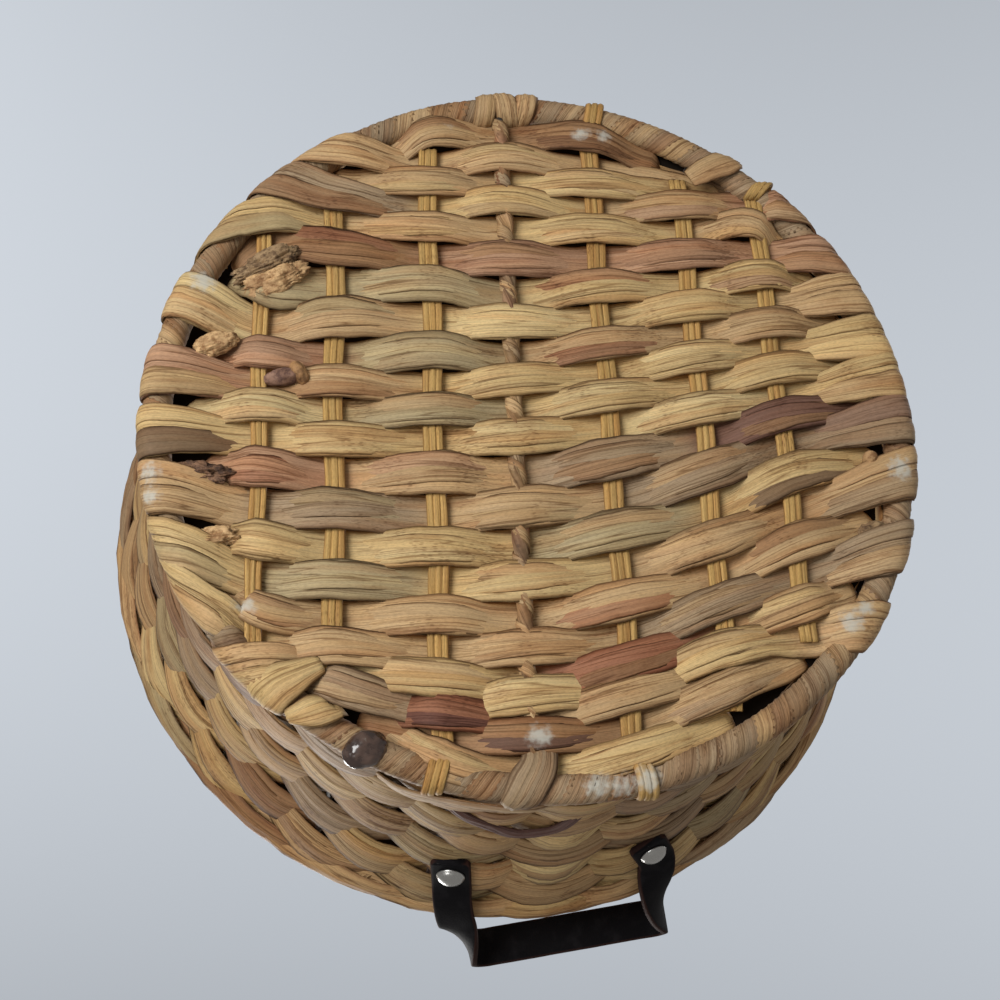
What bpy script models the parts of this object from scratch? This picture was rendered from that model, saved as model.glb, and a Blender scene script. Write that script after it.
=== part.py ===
# Round woven storage basket with two leather strap handles.
#
# The basket stands on its base, with the opening up. A welded wire frame (two hoops,
# uprights and one bar across the base) is bound and woven with flat water hyacinth.
# The handles sit at -Y and +Y, and each turns about the line where its strap folds.

import math

import bmesh
import bpy
from mathutils import Matrix, Vector

# Driving dimensions, in metres and radians
BASKET_HEIGHT = 0.135
BASE_HOOP_RADIUS = 0.143
RIM_HOOP_RADIUS = 0.160
WALL_HOLLOW = 0.0078          # how far the wall is drawn in from a straight cone, half way up
FIT_GAP = 0.0003              # clearance between pieces that touch

# Wire frame
WIRE_RADIUS = 0.0015
BASE_WRAP_RADIUS = 0.0050     # the base hoop with its binding
RIM_WRAP_RADIUS = 0.0055      # the rim hoop with its binding
BAR_WRAP_RADIUS = 0.0025      # the centre bar with its binding
UPRIGHT_COUNT = 20
HOOP_SEGMENTS = 60
WRAP_SIDES = 8

# Woven base: strands run along X over and under the stakes, which run along Y
WEAVE_TURN = math.radians(5.2)
BASE_ROW_COUNT = 21
STRAND_THICKNESS = 0.0024
STAKE_WIDTH = 0.0075
STAKE_THICKNESS = 0.0036
STAKE_EDGE = 0.0008
STAKE_PLACE_SHARES = (-0.684, -0.464, -0.206, 0.267, 0.529, 0.725)   # of the base hoop radius
BAR_PLACE_SHARE = 0.050                                              # of the base hoop radius
CROSSING_MARGIN = 0.0015      # how far a strand stays level past the stake's edge
DROP_RUN = 0.016              # room a strand needs to come down from the inside to the hoop
FOLD_LIMIT_SHARE = 0.80       # strands nearer the middle than this fold up round the hoop
FOLD_ANGLES = (0.0, math.radians(45), math.radians(90), math.radians(120))

# Woven wall
WALL_ROW_COUNT = 7
LEVEL_ANGLE = math.radians(4.5)    # how far a wall strand stays level on each side of an upright
WALL_FOOT_GAP = 0.0008        # between the base hoop's binding and the first wall row

# Strap handles
STRAP_WIDTH = 0.016
STRAP_THICKNESS = 0.0028
RIVET_UPRIGHT = 1             # each rivet sits beside this upright, counted from the handle's middle
RIVET_ROW = 5                 # the wall row that the rivets go through, counted from 0 at the base
RIVET_SIDE_GAP = 0.0009       # between the washer and the upright beside it
RIVET_TO_STRAP_END = 0.0096
RIVET_TO_FOLD = 0.0085
GRIP_LENGTH = 0.084           # over the outer faces of the two legs
GRIP_RISE = 0.0300            # from the rim's top to the middle of the grip's strap
GRIP_REACH = 0.0100           # from the rim hoop outwards to the middle of the grip
GRIP_SKEW = 0.0120            # the leather has set a little to one side
GRIP_FLAT_RUN = 0.0030        # how far the grip's strap runs on straight past its fold
RIM_CLEARANCE = 0.0008        # between the strap and the rim's binding
CORNER_RADIUS = 0.0070
CORNER_STEPS = 4
LEG_STEPS = 9
TWIST_START_SHARE = 0.30      # where on the leg the strap starts and ends its quarter twist
TWIST_END_SHARE = 1.0

# Rivets
RIVET_CAP_RADIUS = 0.0060
RIVET_CAP_HEIGHT = 0.0024
RIVET_CAP_EDGE = 0.0007
RIVET_POST_RADIUS = 0.0015
RIVET_POST_TIP = 0.0006       # how far the post comes out of the washer
WASHER_RADIUS = 0.0050
WASHER_THICKNESS = 0.0012
WASHER_SEAT_GAP = 0.0009      # the strand behind the strap lies a little askew of it
RIVET_STEPS = 16
DOME_STEPS = 3
CUT_OVERRUN = 0.004           # how far a cutter passes what it cuts

# Sizes that follow
MERGE_DISTANCE = 0.000001
STRAND_HALF = STRAND_THICKNESS / 2
LOW_LEVEL = STRAND_HALF                                    # middle of a strand on the ground
BASE_HOOP_Z = LOW_LEVEL + STRAND_HALF + FIT_GAP + BASE_WRAP_RADIUS
RIM_HOOP_Z = BASKET_HEIGHT - RIM_WRAP_RADIUS
BASE_INNER_RADIUS = BASE_HOOP_RADIUS - BASE_WRAP_RADIUS - FIT_GAP
BAR_LIFT = BAR_WRAP_RADIUS + FIT_GAP + STRAND_HALF         # strand's middle from the bar's middle
STAKE_LIFT = STAKE_THICKNESS / 2 + FIT_GAP + STRAND_HALF
STAKE_Z = LOW_LEVEL + BAR_LIFT
BASE_ROW_PITCH = 2 * BASE_INNER_RADIUS / BASE_ROW_COUNT
WALL_BOTTOM = BASE_HOOP_Z + BASE_WRAP_RADIUS + WALL_FOOT_GAP
WALL_TOP = RIM_HOOP_Z - RIM_WRAP_RADIUS - FIT_GAP
WALL_ROW_PITCH = (WALL_TOP - WALL_BOTTOM) / WALL_ROW_COUNT
LEVEL_SAG = RIM_HOOP_RADIUS * (1 - math.cos(LEVEL_ANGLE))  # a straight run cuts inside its arc
WALL_LIFT = WIRE_RADIUS + FIT_GAP + STRAND_HALF + LEVEL_SAG

# Colours, from the photographed basket
HYACINTH = ("hyacinth", (0.48, 0.34, 0.18), 0.75, 0.0)
HYACINTH_DARK = ("hyacinth_binding", (0.40, 0.27, 0.14), 0.75, 0.0)
STAKE_STRAW = ("stake_straw", (0.55, 0.40, 0.15), 0.7, 0.0)
LEATHER = ("leather", (0.012, 0.010, 0.012), 0.55, 0.0)
NICKEL = ("nickel", (0.55, 0.55, 0.54), 0.28, 1.0)
IRON_WIRE = ("iron_wire", (0.14, 0.12, 0.11), 0.6, 0.9)

made_materials = {}


def clear_scene():
    for old in list(bpy.data.objects):
        bpy.data.objects.remove(old, do_unlink=True)


def material(finish):
    name, colour, roughness, metallic = finish
    if name not in made_materials:
        new = bpy.data.materials.new(name)
        new.use_nodes = True
        shader = new.node_tree.nodes["Principled BSDF"]
        shader.inputs["Base Color"].default_value = (*colour, 1.0)
        shader.inputs["Roughness"].default_value = roughness
        shader.inputs["Metallic"].default_value = metallic
        made_materials[name] = new
    return made_materials[name]


def add_collection(name):
    new = bpy.data.collections.new(name)
    bpy.context.scene.collection.children.link(new)
    return new


def add_object(name, mesh, collection, finish=None):
    new = bpy.data.objects.new(name, mesh)
    collection.objects.link(new)
    if finish:
        mesh.materials.append(material(finish))
    return new


def mark_cutter(cutter):
    cutter.hide_render = True
    cutter.display_type = "WIRE"


def wall_radius(height):
    """Radius of the uprights' middle line at a height above the ground."""
    share = (height - BASE_HOOP_Z) / (RIM_HOOP_Z - BASE_HOOP_Z)
    cone = BASE_HOOP_RADIUS + (RIM_HOOP_RADIUS - BASE_HOOP_RADIUS) * share
    return cone - 4 * WALL_HOLLOW * share * (1 - share)


def wall_lean(height):
    """Angle between the wall and the vertical, positive where it opens outwards."""
    step = FIT_GAP
    rise = wall_radius(height + step) - wall_radius(height - step)
    return math.atan2(rise, 2 * step)


def around(angle, radius, height):
    """Point on a circle, with angle 0 at -Y and turning towards +X."""
    return Vector((radius * math.sin(angle), -radius * math.cos(angle), height))


def strip_mesh(name, stations, closed=False):
    """Surface of a flat strand: each station holds its two edge points."""
    mesh = bpy.data.meshes.new(name)
    bm = bmesh.new()
    bmesh.ops.create_grid(bm, x_segments=len(stations) - 1 + int(closed), y_segments=1, size=1.0)
    columns = sorted({round(v.co.x, 4) for v in bm.verts})
    for v in bm.verts:
        column = columns.index(round(v.co.x, 4)) % len(stations)
        v.co = stations[column][0] if v.co.y < 0 else stations[column][1]
    bmesh.ops.remove_doubles(bm, verts=bm.verts, dist=MERGE_DISTANCE)
    bmesh.ops.recalc_face_normals(bm, faces=bm.faces)
    bm.to_mesh(mesh)
    bm.free()
    return mesh


def add_strip(name, stations, thickness, collection, finish, closed=False):
    """Flat strand or strap: an open surface made solid about its middle."""
    strip = add_object(name, strip_mesh(name, stations, closed), collection, finish)
    solid = strip.modifiers.new("thickness", "SOLIDIFY")
    solid.thickness = thickness
    solid.offset = 0.0
    solid.use_even_offset = True
    strip.data.shade_smooth()
    strip.data.set_sharp_from_angle(angle=math.radians(50))
    return strip


def wire_mesh(name, points, radius, cyclic=False, resolution=1):
    """Round wire along a line of points, as a closed mesh."""
    curve = bpy.data.curves.new(name, "CURVE")
    curve.dimensions = "3D"
    curve.bevel_depth = radius
    curve.bevel_resolution = resolution
    curve.render_resolution_u = 0
    curve.use_fill_caps = not cyclic
    spline = curve.splines.new("POLY")
    spline.points.add(len(points) - 1)
    for point, place in zip(spline.points, points):
        point.co = (*place, 1.0)
    spline.use_cyclic_u = cyclic
    guide = bpy.data.objects.new(name + "_guide", curve)
    bpy.context.scene.collection.objects.link(guide)
    depsgraph = bpy.context.evaluated_depsgraph_get()
    mesh = bpy.data.meshes.new_from_object(guide.evaluated_get(depsgraph))
    bpy.data.objects.remove(guide, do_unlink=True)
    bm = bmesh.new()
    bm.from_mesh(mesh)
    bmesh.ops.remove_doubles(bm, verts=bm.verts, dist=MERGE_DISTANCE)
    bmesh.ops.recalc_face_normals(bm, faces=bm.faces)
    bm.to_mesh(mesh)
    bm.free()
    mesh.name = name
    return mesh


def hoop_points(radius, height):
    return [around(2 * math.pi * i / HOOP_SEGMENTS, radius, height) for i in range(HOOP_SEGMENTS)]


def upright_points(index):
    angle = 2 * math.pi * index / UPRIGHT_COUNT
    heights = [BASE_HOOP_Z]
    heights += [WALL_BOTTOM + WALL_ROW_PITCH * row for row in range(WALL_ROW_COUNT + 1)]
    heights += [RIM_HOOP_Z]
    return [around(angle, wall_radius(height), height) for height in heights]


def bar_points(radius):
    x = BAR_PLACE_SHARE * BASE_HOOP_RADIUS
    reach = math.sqrt(BASE_HOOP_RADIUS ** 2 - x ** 2) + radius - WIRE_RADIUS
    turn = Matrix.Rotation(WEAVE_TURN, 3, "Z")
    return [turn @ Vector((x, y, STAKE_Z)) for y in (-reach, reach)]


def frame_wires(prefix, radius, collection):
    """Every wire of the frame, each as its own mesh object."""
    hoops = ((BASE_HOOP_RADIUS, BASE_HOOP_Z), (RIM_HOOP_RADIUS, RIM_HOOP_Z))
    wires = []
    for number, (hoop_radius, height) in enumerate(hoops):
        mesh = wire_mesh(f"{prefix}_hoop_{number}", hoop_points(hoop_radius, height), radius, True)
        wires.append(add_object(mesh.name, mesh, collection))
    for index in range(UPRIGHT_COUNT):
        mesh = wire_mesh(f"{prefix}_upright_{index}", upright_points(index), radius)
        wires.append(add_object(mesh.name, mesh, collection))
    mesh = wire_mesh(f"{prefix}_bar", bar_points(radius), radius)
    wires.append(add_object(mesh.name, mesh, collection))
    for wire in wires:
        mark_cutter(wire)
    return wires


def boolean(target, operation, collection=None, cutter=None):
    cut = target.modifiers.new(operation.lower(), "BOOLEAN")
    cut.operation = operation
    cut.solver = "EXACT"
    if collection:
        cut.operand_type = "COLLECTION"
        cut.collection = collection
    else:
        cut.object = cutter
    return cut


def build_frame(basket, cutters):
    """Two hoops, the uprights and the base bar, welded into one frame."""
    joined = bpy.data.collections.new("frame_wires")
    cutters.children.link(joined)
    wires = frame_wires("wire", WIRE_RADIUS, joined)
    hoop = wires[0]
    frame = add_object("wire_frame", hoop.data.copy(), basket, IRON_WIRE)
    bpy.data.objects.remove(hoop, do_unlink=True)
    boolean(frame, "UNION", collection=joined)


def build_hoop_wraps(basket, cutters):
    """Strand wound round each hoop, with a bore for the wire and room for the uprights."""
    bores = bpy.data.collections.new("wire_bores")
    cutters.children.link(bores)
    frame_wires("bore", WIRE_RADIUS + FIT_GAP, bores)
    hoops = (("base_hoop_wrap", BASE_HOOP_RADIUS, BASE_HOOP_Z, BASE_WRAP_RADIUS),
             ("rim_hoop_wrap", RIM_HOOP_RADIUS, RIM_HOOP_Z, RIM_WRAP_RADIUS))
    for name, hoop_radius, height, wrap_radius in hoops:
        mesh = wire_mesh(name, hoop_points(hoop_radius, height), wrap_radius, True, resolution=2)
        wrap = add_object(name, mesh, basket, HYACINTH_DARK)
        boolean(wrap, "DIFFERENCE", collection=bores)


def build_bar_wrap(basket):
    """Strand wound round the bar, between the two sides of the base hoop."""
    x = BAR_PLACE_SHARE * BASE_HOOP_RADIUS
    half = math.sqrt(BASE_INNER_RADIUS ** 2 - (abs(x) + BAR_WRAP_RADIUS) ** 2)
    bore = WIRE_RADIUS + FIT_GAP
    mesh = bpy.data.meshes.new("bar_wrap")
    bm = bmesh.new()
    corners = ((bore, -half), (bore, half), (BAR_WRAP_RADIUS, half), (BAR_WRAP_RADIUS, -half))
    verts = [bm.verts.new((radius, 0, along)) for radius, along in corners]
    for i, vert in enumerate(verts):
        bm.edges.new((vert, verts[(i + 1) % len(verts)]))
    bm.to_mesh(mesh)
    bm.free()
    wrap = add_object("bar_wrap", mesh, basket, HYACINTH_DARK)
    turned(wrap, WRAP_SIDES)
    wrap.matrix_world = (Matrix.Rotation(WEAVE_TURN, 4, "Z") @ Matrix.Translation((x, 0, STAKE_Z))
                         @ Matrix.Rotation(math.radians(90), 4, "X"))


def turned(target, steps):
    """Spin an outline in the XZ plane round Z."""
    screw = target.modifiers.new("turned", "SCREW")
    screw.steps = steps
    screw.render_steps = steps
    screw.use_merge_vertices = True
    screw.merge_threshold = MERGE_DISTANCE
    screw.use_smooth_shade = True
    screw.use_normal_calculate = True
    screw.use_normal_flip = True


def base_row_y(row):
    return (row - (BASE_ROW_COUNT - 1) / 2) * BASE_ROW_PITCH


def crossing_places():
    """The stakes and the bar that cross a base row: place along X, reach of the crossing, lift."""
    half = STAKE_WIDTH / 2 + CROSSING_MARGIN
    places = [(share * BASE_HOOP_RADIUS, half, STAKE_LIFT) for share in STAKE_PLACE_SHARES]
    places.append((BAR_PLACE_SHARE * BASE_HOOP_RADIUS, BAR_WRAP_RADIUS + CROSSING_MARGIN, BAR_LIFT))
    return sorted(places)


def row_reach(row, radius):
    """How far along X a row's outer edge stays within a circle."""
    edge = abs(base_row_y(row)) + BASE_ROW_PITCH / 2 - FIT_GAP / 2
    return math.sqrt(max(radius ** 2 - edge ** 2, 0.0))


def row_meets(row, place):
    """Whether a base row has room to cross the stake at this place."""
    x, half, lift = place
    if lift == BAR_LIFT:
        return True
    return abs(x) + half + CROSSING_MARGIN <= row_reach(row, BASE_INNER_RADIUS)


def row_levels(row):
    """Stations of a base row at its crossings: place along X and height."""
    stations = []
    for number, place in enumerate(crossing_places()):
        if not row_meets(row, place):
            continue
        x, half, lift = place
        inside = (row + number) % 2 == 1
        if row_reach(row, BASE_INNER_RADIUS) - abs(x) < DROP_RUN:
            inside = False
        height = STAKE_Z + lift if inside else STAKE_Z - lift
        stations += [(x - half, height), (x + half, height)]
    return stations


def build_base_rows(basket):
    """Flat strands woven across the base, most of them folded up round the hoop at each end."""
    half = (BASE_ROW_PITCH - FIT_GAP) / 2
    for row in range(BASE_ROW_COUNT):
        middle = base_row_y(row)
        edges = (middle - half, middle + half)
        edge_angles = [math.asin(edge / BASE_HOOP_RADIUS) for edge in edges]
        sag = BASE_HOOP_RADIUS * (1 - math.cos((edge_angles[1] - edge_angles[0]) / 2))
        reach_round = BASE_WRAP_RADIUS + FIT_GAP + STRAND_HALF
        folds = FOLD_ANGLES if abs(middle) < FOLD_LIMIT_SHARE * BASE_HOOP_RADIUS else FOLD_ANGLES[:1]

        def hoop_station(side, fold):
            radius = BASE_HOOP_RADIUS + (reach_round + sag) * math.sin(fold)
            height = BASE_HOOP_Z - reach_round * math.cos(fold)
            return [Vector((side * radius * math.cos(angle), radius * math.sin(angle), height))
                    for angle in edge_angles]

        def level_station(x, height):
            limit = max(abs(middle) + half, 0.0)
            if height > LOW_LEVEL + FIT_GAP:
                limit = min(limit, math.sqrt(BASE_INNER_RADIUS ** 2 - x ** 2))
            return [Vector((x, max(-limit, min(limit, edge)), height)) for edge in edges]

        levels = row_levels(row)
        low_end = row_reach(row, BASE_INNER_RADIUS)
        stations = [hoop_station(-1, fold) for fold in reversed(folds)]
        stations += approach(-low_end, levels[0], level_station)
        stations += [level_station(x, height) for x, height in levels]
        stations += reversed(approach(low_end, levels[-1], level_station))
        stations += [hoop_station(1, fold) for fold in folds]
        strand = add_strip(f"base_strand_{row + 1:02d}", stations, STRAND_THICKNESS, basket, HYACINTH)
        strand.rotation_euler.z = WEAVE_TURN


def approach(x_low, level, level_station):
    """Low station between the hoop and the first crossing, where there is room for one."""
    x_level, height = level
    room = abs(x_low) - abs(x_level)
    if room < 2 * CROSSING_MARGIN or height <= LOW_LEVEL + STRAND_THICKNESS:
        return []
    return [level_station(x_low, LOW_LEVEL)]


def build_base_stakes(basket):
    """Flat stakes across the base, each as long as the rows that cross it."""
    number = 0
    for place in crossing_places():
        x, half, lift = place
        if lift == BAR_LIFT:
            continue
        number += 1
        crossed = [base_row_y(row) for row in range(BASE_ROW_COUNT) if row_meets(row, place)]
        low = min(crossed) - BASE_ROW_PITCH / 2
        high = max(crossed) + BASE_ROW_PITCH / 2
        mesh = bpy.data.meshes.new("base_stake")
        bm = bmesh.new()
        bmesh.ops.create_cube(bm, size=1.0)
        bmesh.ops.scale(bm, verts=bm.verts, vec=(STAKE_WIDTH, high - low, STAKE_THICKNESS))
        bm.to_mesh(mesh)
        bm.free()
        stake = add_object(f"base_stake_{number}", mesh, basket, STAKE_STRAW)
        stake.matrix_world = (Matrix.Rotation(WEAVE_TURN, 4, "Z")
                              @ Matrix.Translation((x, (low + high) / 2, STAKE_Z)))
        edge = stake.modifiers.new("edge", "BEVEL")
        edge.width = STAKE_EDGE
        edge.segments = 1


def wall_point(angle, height, shift):
    """Point beside the uprights' middle line, moved out at right angles to the wall."""
    lean = wall_lean(height)
    return around(angle, wall_radius(height) + shift * math.cos(lean), height - shift * math.sin(lean))


def row_edges(row):
    low = WALL_BOTTOM + WALL_ROW_PITCH * row + FIT_GAP / 2
    return low, low + WALL_ROW_PITCH - FIT_GAP


def wall_row_stations(row):
    """Stations of a wall row, which passes outside one upright and inside the next."""
    stations = []
    for index in range(UPRIGHT_COUNT):
        outside = (index + row + RIVET_ROW) % 2 == 1
        shift = WALL_LIFT if outside else -WALL_LIFT
        for side in (-1, 1):
            angle = 2 * math.pi * index / UPRIGHT_COUNT + side * LEVEL_ANGLE
            stations.append([wall_point(angle, height, shift) for height in row_edges(row)])
    return stations


def rivet_frame(side):
    """Place of a rivet's middle in the strap, with its Z along the strap's outer normal."""
    beside = WIRE_RADIUS + WASHER_RADIUS + RIVET_SIDE_GAP
    low, high = row_edges(RIVET_ROW)
    angle = 2 * math.pi * RIVET_UPRIGHT / UPRIGHT_COUNT - math.asin(beside / wall_radius(low))
    foot, head = [wall_point(side * angle, height, WALL_LIFT) for height in (low, high)]
    along = (head - foot).normalized()
    across = around(side * angle + math.pi / 2, 1, 0)
    normal = across.cross(along)
    turn = Matrix((across, along, normal)).transposed().to_4x4()
    middle = (foot + head) / 2 + normal * (STRAND_HALF + FIT_GAP + STRAP_THICKNESS / 2)
    return Matrix.Translation(middle) @ turn


def fold_point(side):
    """Middle of the strap on its fold line."""
    return rivet_frame(side) @ Vector((0, RIVET_TO_FOLD, 0))


def tab_stations(side):
    frame = rivet_frame(side)
    half = STRAP_WIDTH / 2
    ends = (-RIVET_TO_STRAP_END, RIVET_TO_FOLD - FIT_GAP)
    return [[frame @ Vector((x, y, 0)) for x in (-half, half)] for y in ends]


def grip_path(side):
    """Middle line of one half of the grip, from the fold to the middle of the bar."""
    fold = fold_point(side)
    bend = rivet_frame(side) @ Vector((0, RIVET_TO_FOLD + GRIP_FLAT_RUN, 0))
    top = BASKET_HEIGHT + GRIP_RISE
    corner_x = side * (GRIP_LENGTH / 2 - STRAP_THICKNESS / 2) - GRIP_SKEW
    reach_y = -(RIM_HOOP_RADIUS + GRIP_REACH)
    rim_edge = math.sqrt((RIM_HOOP_RADIUS + RIM_WRAP_RADIUS) ** 2 - bend.x ** 2)
    past_rim_y = -(rim_edge + RIM_CLEARANCE + STRAP_WIDTH / 2)
    leg_end = Vector((corner_x, reach_y, top - CORNER_RADIUS))
    knee = Vector((bend.x, past_rim_y, RIM_HOOP_Z))
    points = [fold]
    for step in range(LEG_STEPS + 1):
        share = step / LEG_STEPS
        points.append(bend.lerp(knee, share).lerp(knee.lerp(leg_end, share), share))
    for step in range(1, CORNER_STEPS + 1):
        angle = math.radians(90) * step / CORNER_STEPS
        x = corner_x - side * CORNER_RADIUS * (1 - math.cos(angle))
        z = leg_end.z + CORNER_RADIUS * math.sin(angle)
        points.append(Vector((x, reach_y, z)))
    return points


def grip_stations(side):
    """Edge points of one half of the grip: the strap makes a quarter twist up the leg."""
    flat = -side * (rivet_frame(side).to_3x3() @ Vector((1, 0, 0)))
    edge_on = Vector((0, -1, 0))
    stations = []
    for number, middle in enumerate(grip_path(side)):
        climbed = max(0, min(number - 1, LEG_STEPS)) / LEG_STEPS
        share = (climbed - TWIST_START_SHARE) / (TWIST_END_SHARE - TWIST_START_SHARE)
        across = flat.slerp(edge_on, max(0.0, min(1.0, share))) * (STRAP_WIDTH / 2)
        stations.append([middle - across, middle + across])
    return stations


def hinge_line():
    """Y and Z of the line the grip turns about: the outermost corner of its folded end."""
    corners = [rivet_frame(side) @ Vector((x, RIVET_TO_FOLD, STRAP_THICKNESS / 2))
               for side in (-1, 1) for x in (-STRAP_WIDTH / 2, STRAP_WIDTH / 2)]
    corner = min(corners, key=lambda point: point.y)
    return corner.y, corner.z


def turned_outline(name, outline, collection, finish, closed=False):
    """Round piece from half its section, given from the top down the outer side."""
    mesh = bpy.data.meshes.new(name)
    bm = bmesh.new()
    verts = [bm.verts.new((radius, 0, height)) for radius, height in outline]
    pairs = zip(verts, verts[1:] + verts[:1]) if closed else zip(verts, verts[1:])
    for first, second in pairs:
        bm.edges.new((first, second))
    bm.to_mesh(mesh)
    bm.free()
    piece = add_object(name, mesh, collection, finish)
    turned(piece, RIVET_STEPS)
    return piece


def rivet_outline():
    cap_foot = STRAP_THICKNESS / 2 + FIT_GAP
    dome = RIVET_CAP_HEIGHT - RIVET_CAP_EDGE
    outline = []
    for step in range(DOME_STEPS + 1):
        angle = math.radians(90) * step / DOME_STEPS
        outline.append((RIVET_CAP_RADIUS * math.sin(angle), cap_foot + RIVET_CAP_EDGE + dome * math.cos(angle)))
    outline.append((RIVET_CAP_RADIUS, cap_foot))
    outline.append((RIVET_POST_RADIUS, cap_foot))
    outline.append((RIVET_POST_RADIUS, -rivet_depth()))
    outline.append((0.0, -rivet_depth()))
    return outline


def washer_top():
    """Face of the washer that lies on the inside of the wall, below the strap's middle."""
    return STRAP_THICKNESS / 2 + FIT_GAP + STRAND_THICKNESS + WASHER_SEAT_GAP


def rivet_depth():
    return washer_top() + WASHER_THICKNESS + RIVET_POST_TIP


def washer_outline():
    hole = RIVET_POST_RADIUS + FIT_GAP
    top = -washer_top()
    foot = top - WASHER_THICKNESS
    return ((hole, top), (WASHER_RADIUS, top), (WASHER_RADIUS, foot), (hole, foot))


def build_handle(word, turn, basket, cutters):
    """One strap handle: two riveted ends that stay on the wall and a grip that folds outwards."""
    names = {-1: "left", 1: "right"}
    for side in (-1, 1):
        place = turn @ rivet_frame(side)
        name = f"{word}_{names[side]}"
        tab = add_strip(f"{name}_strap_end", tab_stations(side), STRAP_THICKNESS, basket, LEATHER)
        tab.matrix_world = turn
        cutter = add_post_cutter(f"{name}_rivet_hole", place, cutters)
        boolean(tab, "DIFFERENCE", cutter=cutter)
        boolean(bpy.data.objects[f"wall_row_{RIVET_ROW + 1}"], "DIFFERENCE", cutter=cutter)
        rivet = turned_outline(f"{name}_rivet", rivet_outline(), basket, NICKEL)
        rivet.matrix_world = place
        washer = turned_outline(f"{name}_rivet_washer", washer_outline(), basket, NICKEL, closed=True)
        washer.matrix_world = place
    axis = Vector((0, *hinge_line()))
    stations = [[point - axis for point in station]
                for station in grip_stations(1) + grip_stations(-1)[::-1]]
    grip = add_strip(f"{word}_grip", stations, STRAP_THICKNESS, basket, LEATHER)
    grip.matrix_world = turn @ Matrix.Translation(axis)


def add_post_cutter(name, place, cutters):
    mesh = bpy.data.meshes.new(name)
    bm = bmesh.new()
    radius = RIVET_POST_RADIUS + FIT_GAP
    bmesh.ops.create_cone(bm, cap_ends=True, segments=RIVET_STEPS, radius1=radius, radius2=radius,
                          depth=2 * (washer_top() + CUT_OVERRUN))
    bm.to_mesh(mesh)
    bm.free()
    cutter = add_object(name, mesh, cutters)
    cutter.matrix_world = place
    mark_cutter(cutter)
    return cutter


def main():
    clear_scene()
    basket = add_collection("onion_basket")
    cutters = add_collection("cutters")
    build_frame(basket, cutters)
    build_hoop_wraps(basket, cutters)
    build_bar_wrap(basket)
    build_base_rows(basket)
    build_base_stakes(basket)
    for row in range(WALL_ROW_COUNT):
        add_strip(f"wall_row_{row + 1}", wall_row_stations(row), STRAND_THICKNESS, basket, HYACINTH, closed=True)
    build_handle("front", Matrix.Identity(4), basket, cutters)
    build_handle("back", Matrix.Rotation(math.pi, 4, "Z"), basket, cutters)


main()
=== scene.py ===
# %% [markdown]
# # An onion basket woven from water hyacinth
# The basket is a wire skeleton that a maker has bound and woven with flat, dried leaf
# strands. In the photograph it lies upside down, so the camera looks at its base. Here it
# stands on its base, as it is stored, and the camera looks up at it from below the floor.
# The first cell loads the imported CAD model, which fixes every place and size.
# %% Load the frame
import math

import bmesh
import bpy
import numpy as np
from mathutils import Matrix, Vector, noise


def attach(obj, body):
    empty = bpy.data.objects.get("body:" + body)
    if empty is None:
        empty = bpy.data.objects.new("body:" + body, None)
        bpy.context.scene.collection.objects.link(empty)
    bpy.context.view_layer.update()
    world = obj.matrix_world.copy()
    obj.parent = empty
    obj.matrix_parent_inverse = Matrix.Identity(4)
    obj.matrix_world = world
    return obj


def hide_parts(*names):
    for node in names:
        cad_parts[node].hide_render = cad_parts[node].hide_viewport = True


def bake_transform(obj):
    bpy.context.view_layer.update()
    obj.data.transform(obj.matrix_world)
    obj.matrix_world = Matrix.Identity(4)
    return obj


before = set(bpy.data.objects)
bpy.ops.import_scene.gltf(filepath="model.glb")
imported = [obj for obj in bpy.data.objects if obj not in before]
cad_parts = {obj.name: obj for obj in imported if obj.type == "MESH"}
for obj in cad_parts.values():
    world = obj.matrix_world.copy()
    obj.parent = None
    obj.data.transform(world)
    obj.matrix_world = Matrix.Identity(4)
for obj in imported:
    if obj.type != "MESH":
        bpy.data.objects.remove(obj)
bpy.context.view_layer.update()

# %% [markdown]
# ## The camera
# The photograph was taken from above and a little in front of the base. Its place came
# from fitting the base's outline, the stakes and the rivets. A camera looks along its own
# -Z axis, so the three directions below fill the columns of its turn.
# %% Camera
CAMERA_PLACE = Vector((0.1128, -0.2578, -0.5210))
CAMERA_RIGHT = Vector((-0.9838, -0.1303, -0.1230))
CAMERA_UP = Vector((-0.0705, 0.9126, -0.4028))
CAMERA_LENS = 56.1

camera_data = bpy.data.cameras.new("camera")
camera_data.lens = CAMERA_LENS
camera_data.sensor_width = 36.0
camera = bpy.data.objects.new("camera", camera_data)
bpy.context.scene.collection.objects.link(camera)
back = CAMERA_RIGHT.cross(CAMERA_UP).normalized()
up = back.cross(CAMERA_RIGHT).normalized()
turn = Matrix((CAMERA_RIGHT.normalized(), up, back)).transposed().to_4x4()
camera.matrix_world = Matrix.Translation(CAMERA_PLACE) @ turn
bpy.context.scene.camera = camera
print("camera at", tuple(camera.location))

# %% [markdown]
# ## Sizes that the strands follow
# These are the CAD model's own lengths, in metres. The wall is a cone that is drawn in a
# little half way up, so its radius is a function of the height above the ground.
# %% Sizes from the CAD model
BASKET_HEIGHT = 0.135
BASE_RADIUS, RIM_RADIUS = 0.143, 0.160
WALL_HOLLOW = 0.0078
BASE_WRAP, RIM_WRAP, BAR_WRAP = 0.0050, 0.0055, 0.0025
BASE_Z, RIM_Z, STAKE_Z = 0.0077, 0.1295, 0.0052
WALL_BOTTOM, WALL_PITCH, WALL_ROWS = 0.0135, 0.01574, 7
UPRIGHTS = 20
WEAVE_TURN = math.radians(5.2)      # the weave lies a little askew of the handles
UP = np.array((0.0, 0.0, 1.0))


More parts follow.
